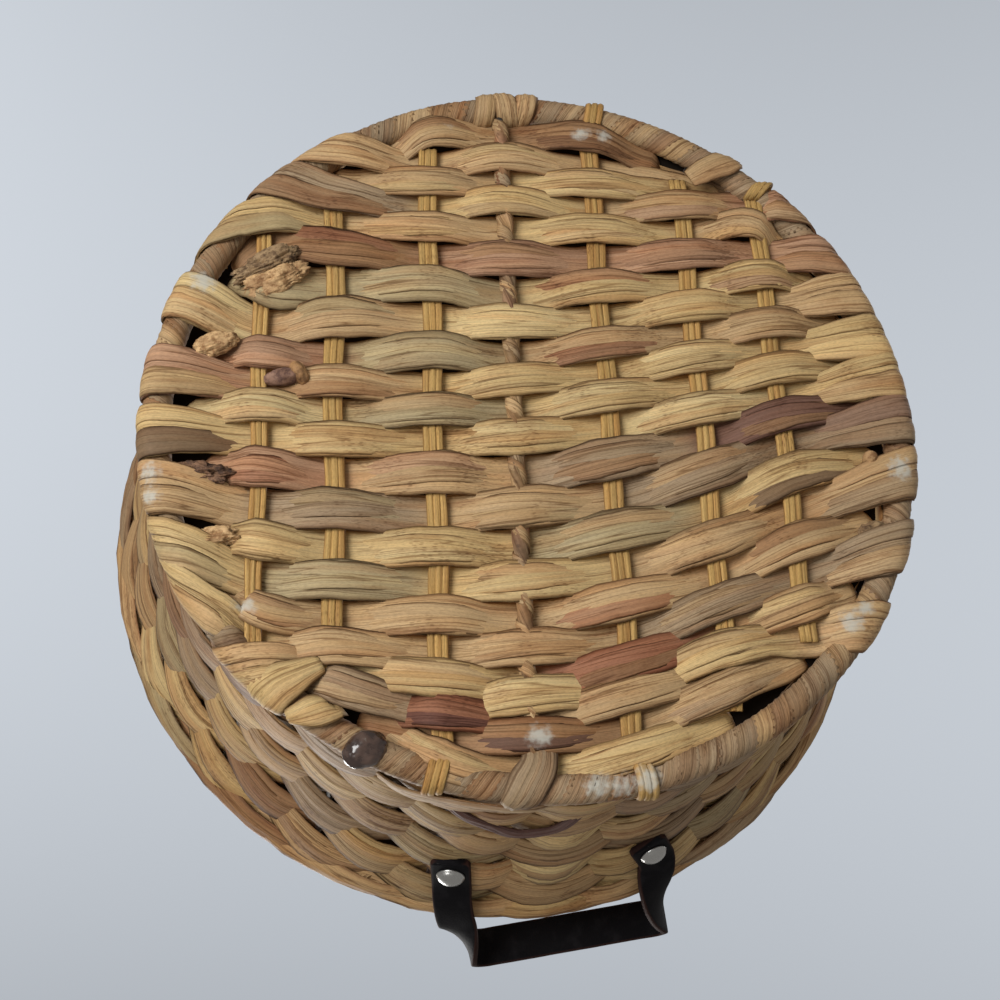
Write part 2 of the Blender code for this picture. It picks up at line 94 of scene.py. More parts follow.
def wall_radius(height):
    share = (height - BASE_Z) / (RIM_Z - BASE_Z)
    return BASE_RADIUS + (RIM_RADIUS - BASE_RADIUS) * share - 4 * WALL_HOLLOW * share * (1 - share)


def wall_lean(height):
    step = 0.0003
    return math.atan2(wall_radius(height + step) - wall_radius(height - step), 2 * step)


def wall_point(angle, height, out):
    """Point beside the wall's middle surface. Angle 0 is at -Y and turns towards +X."""
    lean = wall_lean(height)
    radius = wall_radius(height) + out * math.cos(lean)
    return (radius * math.sin(angle), -radius * math.cos(angle), height - out * math.sin(lean))


print("wall radius at the foot, half way and the rim:",
      [round(wall_radius(z), 4) for z in (BASE_Z, 0.07, RIM_Z)])

# %% [markdown]
# ## Colours of the dried leaf
# Water hyacinth dries to straw, but each leaf keeps some of its own past: olive, grey,
# rose and a dark purple brown lie side by side. One letter stands for each of these, so a
# row of the weave can be written down as a short word.
# %% The maker's palette


def from_screen(red, green, blue):
    """Screen colour, 0 to 255, as the linear colour that the shaders use."""
    return np.array([((c / 255 + 0.055) / 1.055) ** 2.4 for c in (red, green, blue)])


LEAF = {
    "s": from_screen(198, 171, 122),    # straw
    "p": from_screen(207, 184, 136),    # pale straw
    "t": from_screen(187, 157, 116),    # tan
    "o": from_screen(171, 154, 118),    # olive
    "g": from_screen(160, 138, 110),    # grey brown
    "b": from_screen(153, 118, 84),     # brown
    "d": from_screen(108, 80, 58),      # dark brown
    "r": from_screen(174, 137, 108),    # rose
    "e": from_screen(152, 104, 78),     # reddish brown
    "u": from_screen(124, 92, 78),      # dull brown
    "v": from_screen(78, 50, 50),       # dark purple
    "y": from_screen(184, 150, 92),    # yellow stake
}
print("leaf colours:", len(LEAF))

# %% [markdown]
# ## Node helpers and the fibre pattern
# Every strand shows the same thing close up: fine fibres that run along it, a few deeper
# grooves, blotches and dark flecks. The grooves, the crease lines and the strand's edges
# are darkened with painted shade. That is one node group, built once. It reads the
# strand's own map, in which one unit is one metre along or across the strand, so the
# fibres keep their true width on every piece and turn with it.
# %% Node helpers


def node(tree, kind, inputs=None, **settings):
    made = tree.nodes.new(kind)
    for key, value in settings.items():
        setattr(made, key, value)
    for key, value in (inputs or {}).items():
        if isinstance(value, bpy.types.NodeSocket):
            tree.links.new(value, made.inputs[key])
        else:
            made.inputs[key].default_value = value
    return made


def maths(tree, operation, first, second=0.0, clamp=False):
    return node(tree, "ShaderNodeMath", {0: first, 1: second}, operation=operation,
                use_clamp=clamp).outputs[0]


def ramp(tree, value, low, high, to_low=0.0, to_high=1.0):
    return node(tree, "ShaderNodeMapRange", {"Value": value, "From Min": low, "From Max": high,
                "To Min": to_low, "To Max": to_high}, interpolation_type="SMOOTHSTEP").outputs[0]


def blend_colour(tree, mask, first, second, kind="MIX"):
    made = node(tree, "ShaderNodeMix", data_type="RGBA", blend_type=kind, clamp_factor=True)
    for socket, value in ((made.inputs["Factor"], mask), (made.inputs[6], first), (made.inputs[7], second)):
        if isinstance(value, bpy.types.NodeSocket):
            tree.links.new(value, socket)
        else:
            socket.default_value = value
    return made.outputs[2]


def group(name, inputs, outputs):
    """Empty node group with named sockets."""
    tree = bpy.data.node_groups.new(name, "ShaderNodeTree")
    for label, kind, value in inputs:
        socket = tree.interface.new_socket(label, in_out="INPUT", socket_type="NodeSocket" + kind)
        socket.default_value = value
    for label, kind in outputs:
        tree.interface.new_socket(label, in_out="OUTPUT", socket_type="NodeSocket" + kind)
    return tree, tree.nodes.new("NodeGroupInput"), tree.nodes.new("NodeGroupOutput")


# %% Fibre pattern


def stretched_noise(tree, along, across, scale_along, scale_across, detail, lift=0.0):
    place = node(tree, "ShaderNodeCombineXYZ", {"X": maths(tree, "MULTIPLY", along, scale_along),
                 "Y": maths(tree, "MULTIPLY", across, scale_across), "Z": lift}).outputs[0]
    return node(tree, "ShaderNodeTexNoise", {"Vector": place, "Scale": 1.0, "Detail": detail,
                "Roughness": 0.6}).outputs["Fac"]


fibres, given, result = group(
    "strand fibres",
    [("Tint", "Color", (0.5, 0.35, 0.15, 1)), ("Edge", "Float", 0.0), ("Chalk", "Float", 0.0),
     ("Grain", "Float", 0.6), ("Fibre Width", "Float", 1.0), ("Groove Shade", "Float", 0.55),
     ("Stain", "Float", 0.5)],
    [("Colour", "Color"), ("Roughness", "Float"), ("Height", "Float")])
strand_map = node(fibres, "ShaderNodeUVMap", uv_map="strand").outputs[0]
split = node(fibres, "ShaderNodeSeparateXYZ", {0: strand_map})
along, across = split.outputs[0], maths(fibres, "DIVIDE", split.outputs[1], given.outputs["Fibre Width"])
fine = stretched_noise(fibres, along, across, 45, 2200, 2.0)
coarse = stretched_noise(fibres, along, across, 16, 900, 3.0, 4.0)
tone = stretched_noise(fibres, along, across, 20, 130, 2.0, 15.0)


def crease_lines(scale_along, scale_across, sharpness, lift):
    """Thin dark lines where a stretched noise passes its middle."""
    wave = stretched_noise(fibres, along, across, scale_along, scale_across, 1.5, lift)
    return maths(fibres, "SUBTRACT", 1.0, maths(fibres, "MULTIPLY", maths(
        fibres, "ABSOLUTE", maths(fibres, "SUBTRACT", wave, 0.5)), sharpness), clamp=True)


many = maths(fibres, "MULTIPLY", crease_lines(14, 760, 30.0, 21.0), maths(
    fibres, "MULTIPLY", given.outputs["Grain"], 0.75))
groove = maths(fibres, "MAXIMUM", crease_lines(7, 210, 52.0, 9.0), many)
place = node(fibres, "ShaderNodeTexCoord").outputs["Object"]
blotch = node(fibres, "ShaderNodeTexNoise", {"Vector": place, "Scale": 48.0, "Detail": 4.0,
              "Roughness": 0.62}).outputs["Fac"]
fleck_place = node(fibres, "ShaderNodeCombineXYZ", {
    "X": maths(fibres, "MULTIPLY", along, 260.0), "Y": maths(fibres, "MULTIPLY", across, 900.0)}).outputs[0]
fleck = node(fibres, "ShaderNodeTexVoronoi", {"Vector": fleck_place, "Scale": 1.0, "Randomness": 1.0},
             voronoi_dimensions="2D")
fleck = maths(fibres, "MULTIPLY", ramp(fibres, fleck.outputs["Distance"], 0.30, 0.12),
              ramp(fibres, blotch, 0.53, 0.64))
light = maths(fibres, "ADD", maths(fibres, "MULTIPLY", fine, 0.34), maths(fibres, "MULTIPLY", coarse, 0.66))
light = ramp(fibres, light, 0.30, 0.70, 0.80, 1.14)
speckle = stretched_noise(fibres, along, across, 620, 1500, 3.0, 61.0)
light = maths(fibres, "MULTIPLY", light, ramp(fibres, speckle, 0.34, 0.60, 0.86, 1.04))
colour = blend_colour(fibres, 1.0, given.outputs["Tint"],
                      node(fibres, "ShaderNodeCombineColor", {0: light, 1: light, 2: light}).outputs[0],
                      "MULTIPLY")
colour = blend_colour(fibres, ramp(fibres, tone, 0.35, 0.7, 0.0, 0.55), colour, (1.06, 0.97, 0.82, 1), "MULTIPLY")
rosy = ramp(fibres, stretched_noise(fibres, along, across, 11, 95, 2.0, 33.0), 0.46, 0.66, 0.0, 0.8)
colour = blend_colour(fibres, rosy, colour, (0.90, 0.76, 0.68, 1), "MULTIPLY")
streak = stretched_noise(fibres, along, across, 15, 210, 3.0, 47.0)
stain = maths(fibres, "ADD", maths(fibres, "MULTIPLY", streak, 0.6), maths(fibres, "MULTIPLY", blotch, 0.4))
stain = maths(fibres, "MULTIPLY", ramp(fibres, stain, 0.50, 0.66), given.outputs["Stain"])
colour = blend_colour(fibres, stain, colour, (0.56, 0.42, 0.33, 1), "MULTIPLY")
# painted shade in the grooves and crease lines, darkened into the colour
dark = maths(fibres, "MULTIPLY", groove, given.outputs["Groove Shade"])
colour = blend_colour(fibres, dark, colour, (0.34, 0.25, 0.19, 1), "MULTIPLY")
colour = blend_colour(fibres, maths(fibres, "MULTIPLY", fleck, 0.6), colour, (0.30, 0.20, 0.14, 1), "MULTIPLY")
# painted shade along the strand's edges, where it meets its neighbours
colour = blend_colour(fibres, maths(fibres, "MULTIPLY", given.outputs["Edge"], 0.8), colour,
                      (0.36, 0.27, 0.21, 1), "MULTIPLY")
powder = node(fibres, "ShaderNodeTexNoise", {"Vector": place, "Scale": 420.0, "Detail": 3.0}).outputs["Fac"]
powder = maths(fibres, "MULTIPLY", ramp(fibres, maths(
    fibres, "ADD", maths(fibres, "MULTIPLY", powder, 1.1), given.outputs["Chalk"]), 0.80, 1.45),
    ramp(fibres, given.outputs["Chalk"], 0.0, 0.5))
colour = blend_colour(fibres, maths(fibres, "MULTIPLY", powder, 0.8), colour, (0.50, 0.49, 0.43, 1))
height = maths(fibres, "SUBTRACT", maths(fibres, "ADD", maths(fibres, "MULTIPLY", fine, 0.25), maths(
    fibres, "MULTIPLY", coarse, 0.6)), maths(fibres, "MULTIPLY", groove, 0.45))
fibres.links.new(colour, result.inputs["Colour"])
fibres.links.new(maths(fibres, "ADD", 0.64, maths(fibres, "MULTIPLY", groove, 0.2)), result.inputs["Roughness"])
fibres.links.new(height, result.inputs["Height"])
print("fibre group nodes:", len(fibres.nodes))

# %% [markdown]
# ## Leaf materials
# Each leaf finish places that group with its own values, among them how dark the painted
# shade in the grooves is. The tint, the painted shade at the edges and the chalky glue
# marks come from the mesh, where each strand has them written at its points.
# %% Leaf materials


def plain_material(name):
    made = bpy.data.materials.new(name)
    made.use_nodes = True
    return made, made.node_tree, made.node_tree.nodes["Principled BSDF"]


def leaf_material(name, fibre_width, groove_shade, stain_share, bump=0.5, depth=0.0003):
    made, tree, shader = plain_material(name)
    tint = node(tree, "ShaderNodeAttribute", attribute_name="tint").outputs["Color"]
    edge = node(tree, "ShaderNodeAttribute", attribute_name="edge").outputs["Fac"]
    chalk = node(tree, "ShaderNodeAttribute", attribute_name="chalk").outputs["Fac"]
    fibre = node(tree, "ShaderNodeGroup", node_tree=fibres)
    grain = node(tree, "ShaderNodeAttribute", attribute_name="grain").outputs["Fac"]
    for label, value in (("Tint", tint), ("Edge", edge), ("Chalk", chalk), ("Grain", grain)):
        tree.links.new(value, fibre.inputs[label])
    fibre.inputs["Fibre Width"].default_value = fibre_width
    fibre.inputs["Groove Shade"].default_value = groove_shade
    fibre.inputs["Stain"].default_value = stain_share
    raised = node(tree, "ShaderNodeBump", {"Strength": bump, "Distance": depth,
                  "Height": fibre.outputs["Height"]})
    tree.links.new(fibre.outputs["Colour"], shader.inputs["Base Color"])
    tree.links.new(fibre.outputs["Roughness"], shader.inputs["Roughness"])
    tree.links.new(raised.outputs[0], shader.inputs["Normal"])
    shader.inputs["Specular IOR Level"].default_value = 0.24
    return made


LEAF_FINISH = leaf_material("woven leaf", 1.0, 0.80, 0.6)
WALL_FINISH = leaf_material("wall leaf", 1.1, 0.85, 0.7)
BINDING_FINISH = leaf_material("wound binding", 0.8, 0.85, 0.7)
STAKE_FINISH = leaf_material("stake cane", 0.9, 0.45, 0.3)
print("leaf materials:", [m.name for m in (LEAF_FINISH, WALL_FINISH, BINDING_FINISH, STAKE_FINISH)])

# %% [markdown]
# ## A strand as a mesh
# A dried leaf strand is a flattened tube: wide, thin, a little humped, with soft pleats
# along it and an uneven edge. A curve with a bevel could draw it, but its edge and pleats
# could not change on the way. So each strand is lofted from stations: at each one a
# closed section of twenty points stands across the path.
# %% The section of a strand
TOP = np.linspace(-1, 1, 13)
BELOW = np.linspace(0.86, -0.86, 7)
STRAND_ACROSS = np.concatenate([TOP, BELOW])
STRAND_FACE = np.concatenate([np.ones(13), -np.ones(7)])
STRAND_PROFILE = 1 - 0.62 * STRAND_ACROSS ** 4

STRAP_TOP = np.array((-1, -0.985, -0.94, -0.8, -0.4, 0, 0.4, 0.8, 0.94, 0.985, 1))
STRAP_ACROSS = np.concatenate([STRAP_TOP, STRAP_TOP[-2:0:-1]])
STRAP_FACE = np.concatenate([np.ones(11), -np.ones(9)])
STRAP_PROFILE = np.interp(abs(STRAP_ACROSS), (0.8, 0.94, 0.985, 1.0), (1.0, 0.96, 0.78, 0.40))


def smooth(places, values, at):
    """Cubic curve through the given values."""
    places, values = np.asarray(places, float), np.asarray(values, float)
    slopes = np.gradient(values, places)
    at = np.clip(at, places[0], places[-1])
    first = np.clip(np.searchsorted(places, at) - 1, 0, len(places) - 2)
    run = places[first + 1] - places[first]
    t = (at - places[first]) / run
    return ((2 * t ** 3 - 3 * t ** 2 + 1) * values[first] + (t ** 3 - 2 * t ** 2 + t) * run * slopes[first]
            + (3 * t ** 2 - 2 * t ** 3) * values[first + 1] + (t ** 3 - t ** 2) * run * slopes[first + 1])


def wobble(along, chance, wave=0.028):
    """Slow uneven curve between about -1 and 1."""
    total = 0
    for octave in (1.0, 2.3):
        total = total + np.sin(2 * np.pi * along / wave * octave + chance.uniform(0, 6.28)) / (1 + octave)
    return total * 1.2


def unit(rows):
    return rows / np.maximum(np.linalg.norm(rows, axis=-1, keepdims=True), 1e-9)


def ribbon(path, across, width, thick, tint, seed, outward=None, crown=0.0, pleat=0.0, folds=4.0,
           ragged=0.05, carrier=None, strap=False, dark_edge=1.0, grain=None):
    """One closed strand: path and across are rows of points and side directions."""
    chance = np.random.default_rng(seed)
    c, face, profile = ((STRAP_ACROSS, STRAP_FACE, STRAP_PROFILE) if strap
                        else (STRAND_ACROSS, STRAND_FACE, STRAND_PROFILE))
    path = np.asarray(path, float)
    count = len(path)
    along = np.concatenate([[0], np.cumsum(np.linalg.norm(np.diff(path, axis=0), axis=1))])
    tangent = unit(np.gradient(path, axis=0))
    side = np.broadcast_to(np.asarray(across, float), path.shape)
    side = unit(side - (side * tangent).sum(1, keepdims=True) * tangent)
    normal = np.cross(tangent, side)
    if outward is not None:
        normal = normal * np.where((normal * outward).sum(1) < 0, -1.0, 1.0)[:, None]
    half = np.broadcast_to(width, (count,))[:, None] / 2
    thick = np.broadcast_to(thick, (count,))[:, None]
    crown = np.broadcast_to(crown, (count,))[:, None]
    rough = np.where(c[None] < 0, wobble(along, chance)[:, None], wobble(along, chance)[:, None])
    reach = c[None] * half * (1 + ragged * rough)
    fibre_place = np.broadcast_to(c[None] * half.mean() + 0.3 * reach, reach.shape)
    height = crown * (1 - c[None] ** 2) + face[None] * profile[None] * thick / 2
    if pleat:
        for octave, share in ((1.0, 0.6), (2.1, 0.4)):
            drift = 0.35 * wobble(along, chance, 0.06)[:, None]
            height = height + pleat * share * np.sin(
                np.pi * folds * octave * (c[None] + drift) + chance.uniform(0, 6.28)) * (1 - 0.4 * c[None] ** 2)
    if carrier is not None:
        shift, ratio, carried_half, carried_crown, lift = [np.broadcast_to(v, (count,))[:, None] for v in carrier]
        reach = reach + shift * carried_half
        spot = np.clip(shift + ratio * c[None], -1.1, 1.1)
        height = height + carried_crown * (1 - spot ** 2) + lift
    verts = path[:, None] + side[:, None] * reach[..., None] + normal[:, None] * height[..., None]
    size = len(c)
    ring = np.arange(size)
    start = (np.arange(count - 1) * size)[:, None]
    quads = np.stack([start + ring, start + (ring + 1) % size,
                      start + size + (ring + 1) % size, start + size + ring], axis=-1).reshape(-1, 4)
    faces = quads.tolist() + [ring[::-1].tolist(), ((count - 1) * size + ring).tolist()]
    offset = chance.uniform(0, 40, 2)
    uv = np.stack([np.repeat(along, size) + offset[0], fibre_place.ravel() + offset[1]], axis=1)
    # edge share: the leaf finishes paint shade along it, the leather shows its real cut edge there
    edge = np.clip((abs(c) - 0.72) / 0.28, 0, 1) * dark_edge
    tint = np.broadcast_to(np.asarray(tint, float).reshape(-1, 3), (count, 3))
    return {"verts": verts.reshape(-1, 3), "faces": faces, "uv": uv,
            "tint": np.repeat(tint, size, axis=0), "edge": np.tile(edge, count),
            "grain": np.full(len(uv), chance.uniform(0.1, 1.0) if grain is None else grain)}


print("points in a strand's section:", len(STRAND_ACROSS))

# %% [markdown]
# ## Strands into pieces
# A piece of the basket is usually several strands that belong together. They are joined
# into one mesh, with their map and their written values, and the piece is then tied to
# the body it moves with. White glue marks show in some places; each point near one of
# them is written as chalky, and the material does the rest.
# %% Join strands into a piece
GLUE_MARKS = (      # across the stakes, along the stakes, reach, in millimetres on the base
    (4.4, -125.3, 8), (-15, -143, 9), (-24, -144, 9), (-33, -141, 9), (142, -27, 7), (142, -36, 7),
    (107, -77.4, 7), (126, 54, 9), (-141.6, -21, 9), (-114, -83, 8), (-26, 131, 6), (-36, 131, 6),
    (29, 133, 4), (-120, -78, 6))


def turn_weave(points):
    """From the weave's own directions to the model's."""
    cosine, sine = math.cos(WEAVE_TURN), math.sin(WEAVE_TURN)
    points = np.asarray(points, float)
    return np.stack([points[..., 0] * cosine - points[..., 1] * sine,
                     points[..., 0] * sine + points[..., 1] * cosine, points[..., 2]], axis=-1)


def chalk_at(points):
    chalk = np.zeros(len(points))
    for u, v, reach in GLUE_MARKS:
        spot = turn_weave((u / 1000, v / 1000, 0.001))
        away = np.linalg.norm(points - spot, axis=1) / (reach / 1000)
        chalk = np.maximum(chalk, np.clip(1 - away, 0, 1))
    return chalk


def strand_piece(name, strands, body, finish, stands_for=(), chalky=True):
    mesh = bpy.data.meshes.new(name)
    verts = np.concatenate([s["verts"] for s in strands])
    faces, first = [], 0
    for strand in strands:
        faces += [[first + i for i in face] for face in strand["faces"]]
        first += len(strand["verts"])
    mesh.from_pydata(verts.tolist(), [], faces)
    corner = np.zeros(len(mesh.loops), dtype=np.int32)
    mesh.loops.foreach_get("vertex_index", corner)
    layer = mesh.uv_layers.new(name="strand")
    layer.data.foreach_set("uv", np.concatenate([s["uv"] for s in strands])[corner].ravel())
    tint = mesh.attributes.new("tint", "FLOAT_COLOR", "POINT")
    colours = np.concatenate([s["tint"] for s in strands])
    tint.data.foreach_set("color", np.concatenate([colours, np.ones((len(colours), 1))], axis=1).ravel())
    mesh.attributes.new("edge", "FLOAT", "POINT").data.foreach_set(
        "value", np.concatenate([s["edge"] for s in strands]))
    mesh.attributes.new("grain", "FLOAT", "POINT").data.foreach_set(
        "value", np.concatenate([s["grain"] for s in strands]))
    mesh.attributes.new("chalk", "FLOAT", "POINT").data.foreach_set(
        "value", chalk_at(verts) if chalky else np.zeros(len(verts)))
    bm = bmesh.new()
    bm.from_mesh(mesh)
    bmesh.ops.recalc_face_normals(bm, faces=bm.faces)
    bm.to_mesh(mesh)
    bm.free()
    mesh.shade_smooth()
    mesh.materials.append(finish)
    piece = bpy.data.objects.new(name, mesh)
    bpy.context.scene.collection.objects.link(piece)
    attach(piece, body)
    if stands_for:
        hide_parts(*stands_for)
    return piece


# %% [markdown]
# ## Where the base strands run
# The strands cross seven ribs: six flat cane stakes and, in the middle, the wound bar.
# No two rows are quite parallel, and on one side they all rise. The table gives for each
# row where its two ends lie and how far up each rib it crosses, in millimetres. An end
# either folds over the base hoop as a wide band, or dives inside past the last rib.
# A word for each float, from left to right, names the leaf colours of its two layers. A sign
# says on which side, up or down the ribs, the first layer lies.
# %% Rows of the base
RIBS = np.array((103.7, 75.7, 38.2, 7.15, -29.5, -66.3, -97.8)) / 1000
O = None
ROWS = {    # row: (end, end place), crossings at the seven ribs, (end, end place), colours
    20: (("dive", 56, 127), (O, O, 129.0, 131.5, 130.5, O, O), ("dive", -58, 127), "tb bd"),
    19: (("fold", 76, 120), (O, O, 116.0, 119.0, 117.5, O, O), ("dive", -84, 112), "tt ts"),
    18: (("dive", 74, 109), (O, O, 105.5, 108.5, 107.5, 108, O), ("dive", -82, 108), "ts st"),
    17: (("fold", 96, 104), (O, 97.5, 95.5, 97.8, 97.0, 98.5, 101.5), ("fold", -107, 101), "gb st tr rt"),
    16: (("fold", 117, 87), (86.0, 86.5, 83.5, 85.0, 85.5, 87.0, 90.0), ("dive", -112, 88), "so ts st ts ss"),
    15: (("dive", 117, 73), (74.5, 72.5, 71.0, 70.0, 72.5, 75.0, 78.5), ("fold", -130, 79), "be rb rr rb"),
    14: (("dive", 112, 60), (56.0, 57.0, 57.0, 55.0, 58.5, 62.0, 66.5), ("dive", -121, 68), "ot oo se sr"),
    13: (("fold", 136, 49), (38.0, 41.0, 42.5, 41.0, 45.0, 50.5, 55.0), ("fold", -137, 59), "pt to ps ss tt"),
    12: (("dive", 118, 27), (25.0, 24.5, 27.5, 27.0, 32.5, 39.0, 44.0), ("dive", -130, 48), "rr oo te tt"),
    11: (("fold", 144, 16), (13.5, 13.0, 13.0, 15.5, 21.0, 27.5, 34.0), ("fold", -143, 38), "rs tb ss sp ss"),
    10: (("dive", 127, 2), (2.5, 1.0, 2.0, 4.0, 9.3, 16.0, 23.0), ("dive", -132, 29), "pt ot sp ss"),
    9: (("fold", 148, -10), (-9.0, -11.5, -9.0, -9.0, -2.3, 4.5, 12.4), ("fold", -147, 21), "sv ss sp pp st"),
    8: (("dive", 121, -22), (-23.0, -25.0, -24.5, -23.4, -17.5, -7.4, 2.2), ("dive", -134, 11), "re- tr gb ub"),
    7: (("fold", 148, -35), (-38.0, -39.5, -40.0, -38.0, -32.5, -22.0, -8.5), ("fold", -149, 1), "tt go to gt gu+"),
    6: (("dive", 118, -49), (-51.8, -53.9, -54.0, -53.0, -46.8, -37.0, -23.0), ("dive", -134, -13), "ss sp ot sv-"),
    5: (("fold", 141, -61), (-65.3, -67.2, -67.2, -67.0, -61.0, -50.6, -37.5), ("fold", -147, -24), "so oo st tt tg"),
    4: (("dive", 115, -74), (-77.5, -80.6, -80.4, -81.0, -74.6, -64.0, -51.0), ("dive", -129, -41), "tb tt te tb"),
    3: (("fold", 126, -86), (-90.0, -92.0, -93.6, -92.5, -88.3, -75.0, -63.9), ("fold", -141, -57), "st tt tt gt gt"),
    2: (("fold", 104, -104), (O, -99.5, -104.0, -105.5, -98.0, -85.5, -75.5), ("dive", -121, -70), "ts st eb- ts"),
    1: (("dive", 91, -105.5), (O, -105.8, -112.4, -110.0, -105.5, -93.0, -86.5), ("fold", -119, -87), "gt sp st tt"),
    0: (("dive", 56, -114), (O, O, -116.0, -117.5, -110.0, -99.5, O), ("dive", -78, -97), "ev- tt"),
    -1: (("dive", 63, -119), (O, O, -123.0, -125.0, -120.5, -107.5, O), ("dive", -94, -95.5), "bv- tg"),
    -2: (("dive", 58, -126.5), (O, O, -133.2, -138.0, -131.3, O, O), ("dive", -64, -117.5), "ts sp"),
}
OVER_Z, UNDER_Z = 0.0027, 0.0092      # a strand's middle outside and inside a rib
SAMPLE = 0.0032                       # between two stations
BAND_LIFT = 0.0012                    # a folded band's middle above the hoop's binding
FOLD_WIDTH = 0.0215                   # a band where it goes straight over the hoop
HOOP_PUSH = ((0, 10, 30, 50, 64, 78, 92, 115, 138, 152, 165, 190, 215, 240, 270, 320, 360),      # degrees
             (-1.8, -2.4, -3.2, -2.8, -1.2, 1.4, 2.8, 3.5, 3.5, 2.9, 2.0, 2.0, 1.9, 0.9, 0, -0.3, -1.8))      # mm


def hoop_radius(angle):
    """The hoop isn't a true circle: on one side it is pushed out by 3 mm. In the weave's directions."""
    push = np.interp(np.degrees(angle) % 360, HOOP_PUSH[0], HOOP_PUSH[1])
    return BASE_RADIUS + push / 1000


def is_over(row, rib):
    return (row + 6 - rib) % 2 == 0


def row_knots(row):
    """Places from left to right: along the row (negative u), up the ribs, height, rib number."""
    left, crossings, right, _ = ROWS[row]
    knots = []
    for rib, crossing in enumerate(crossings):
        if crossing is not None:
            knots.append((-RIBS[rib], crossing / 1000, OVER_Z if is_over(row, rib) else UNDER_Z, rib))
    for end, where in ((left, 0), (right, len(knots) + 1)):
        reach = math.hypot(end[1], end[2]) / 1000
        limit = hoop_radius(math.atan2(end[2], end[1])) - (0 if end[0] == "fold" else 0.0095)
        share = min(1.0, limit / reach) if end[0] == "dive" else limit / reach
        height = BASE_Z - BASE_WRAP - BAND_LIFT if end[0] == "fold" else 0.0100
        knots.insert(where, (-end[1] / 1000 * share, end[2] / 1000 * share, height, None))
    return knots


def row_place(row, minus_u):
    knots = row_knots(row)
    return smooth([k[0] for k in knots], [k[1] for k in knots], minus_u)


def row_pitch(row, minus_u):
    """Room that a row has between its neighbours."""
    here = row_place(row, minus_u)
    above = row_place(row + 1, minus_u) - here if row + 1 in ROWS else None
    below = here - row_place(row - 1, minus_u) if row - 1 in ROWS else None
    if above is None:
        return below
    return above if below is None else (above + below) / 2


print("rows:", len(ROWS), "room of the middle row at the bar, mm:",
      round(float(row_pitch(10, np.array([0.0]))[0]) * 1000, 1))

# %% [markdown]
# ## Weaving one row
# Between two ribs a strand swings from the outside to the inside along half a cosine. It
# is widest where it lies over a rib and its neighbours are behind it. At a folded end the
# path goes on round the hoop's own circle, and the strand turns its side to the hoop.
# %% Path of a row


def hoop_fold(angle, swings, rise, drift=0.0):
    """Stations of a band that goes round the base hoop, in the weave's directions.

    Swing 0 is under the hoop. Drift is how far the band moves along the hoop as it goes round."""
    points, outs = [], []
    for swing in swings:
        turned = angle + (BASE_WRAP + rise) * swing * drift / BASE_RADIUS
        radial = np.array((math.cos(turned), math.sin(turned), 0.0))
        out = math.sin(swing) * radial - math.cos(swing) * UP
        points.append(hoop_radius(turned) * radial + BASE_Z * UP + (BASE_WRAP + rise) * out)
        outs.append(out)
    return points, outs


def bend_over_hoop(verts):
    """What reaches past the hoop's middle is bent round it, at its own distance from the flat."""
    middle = BASE_WRAP + BAND_LIFT
    angle = np.arctan2(verts[:, 1], verts[:, 0])
    radius = hoop_radius(angle)
    past = np.hypot(verts[:, 0], verts[:, 1]) - radius
    swing = past / middle
    away = middle + (BASE_Z - middle - verts[:, 2])
    bent = np.stack([np.cos(angle) * (radius + away * np.sin(swing)), np.sin(angle) * (radius + away * np.sin(swing)),
                     BASE_Z - away * np.cos(swing)], axis=1)
    return np.where((past > 0)[:, None], bent, verts)


def swing_height(knots, minus_u):
    places, heights = [k[0] for k in knots], [k[2] for k in knots]
    first = np.clip(np.searchsorted(places, minus_u) - 1, 0, len(places) - 2)
    low, high = np.take(places, first), np.take(places, first + 1)
    t = np.clip((minus_u - low) / (high - low), 0, 1)
    eased = 0.5 - 0.5 * np.cos(np.pi * np.clip((t - 0.06) / 0.88, 0, 1))
    return np.take(heights, first) * (1 - eased) + np.take(heights, first + 1) * eased


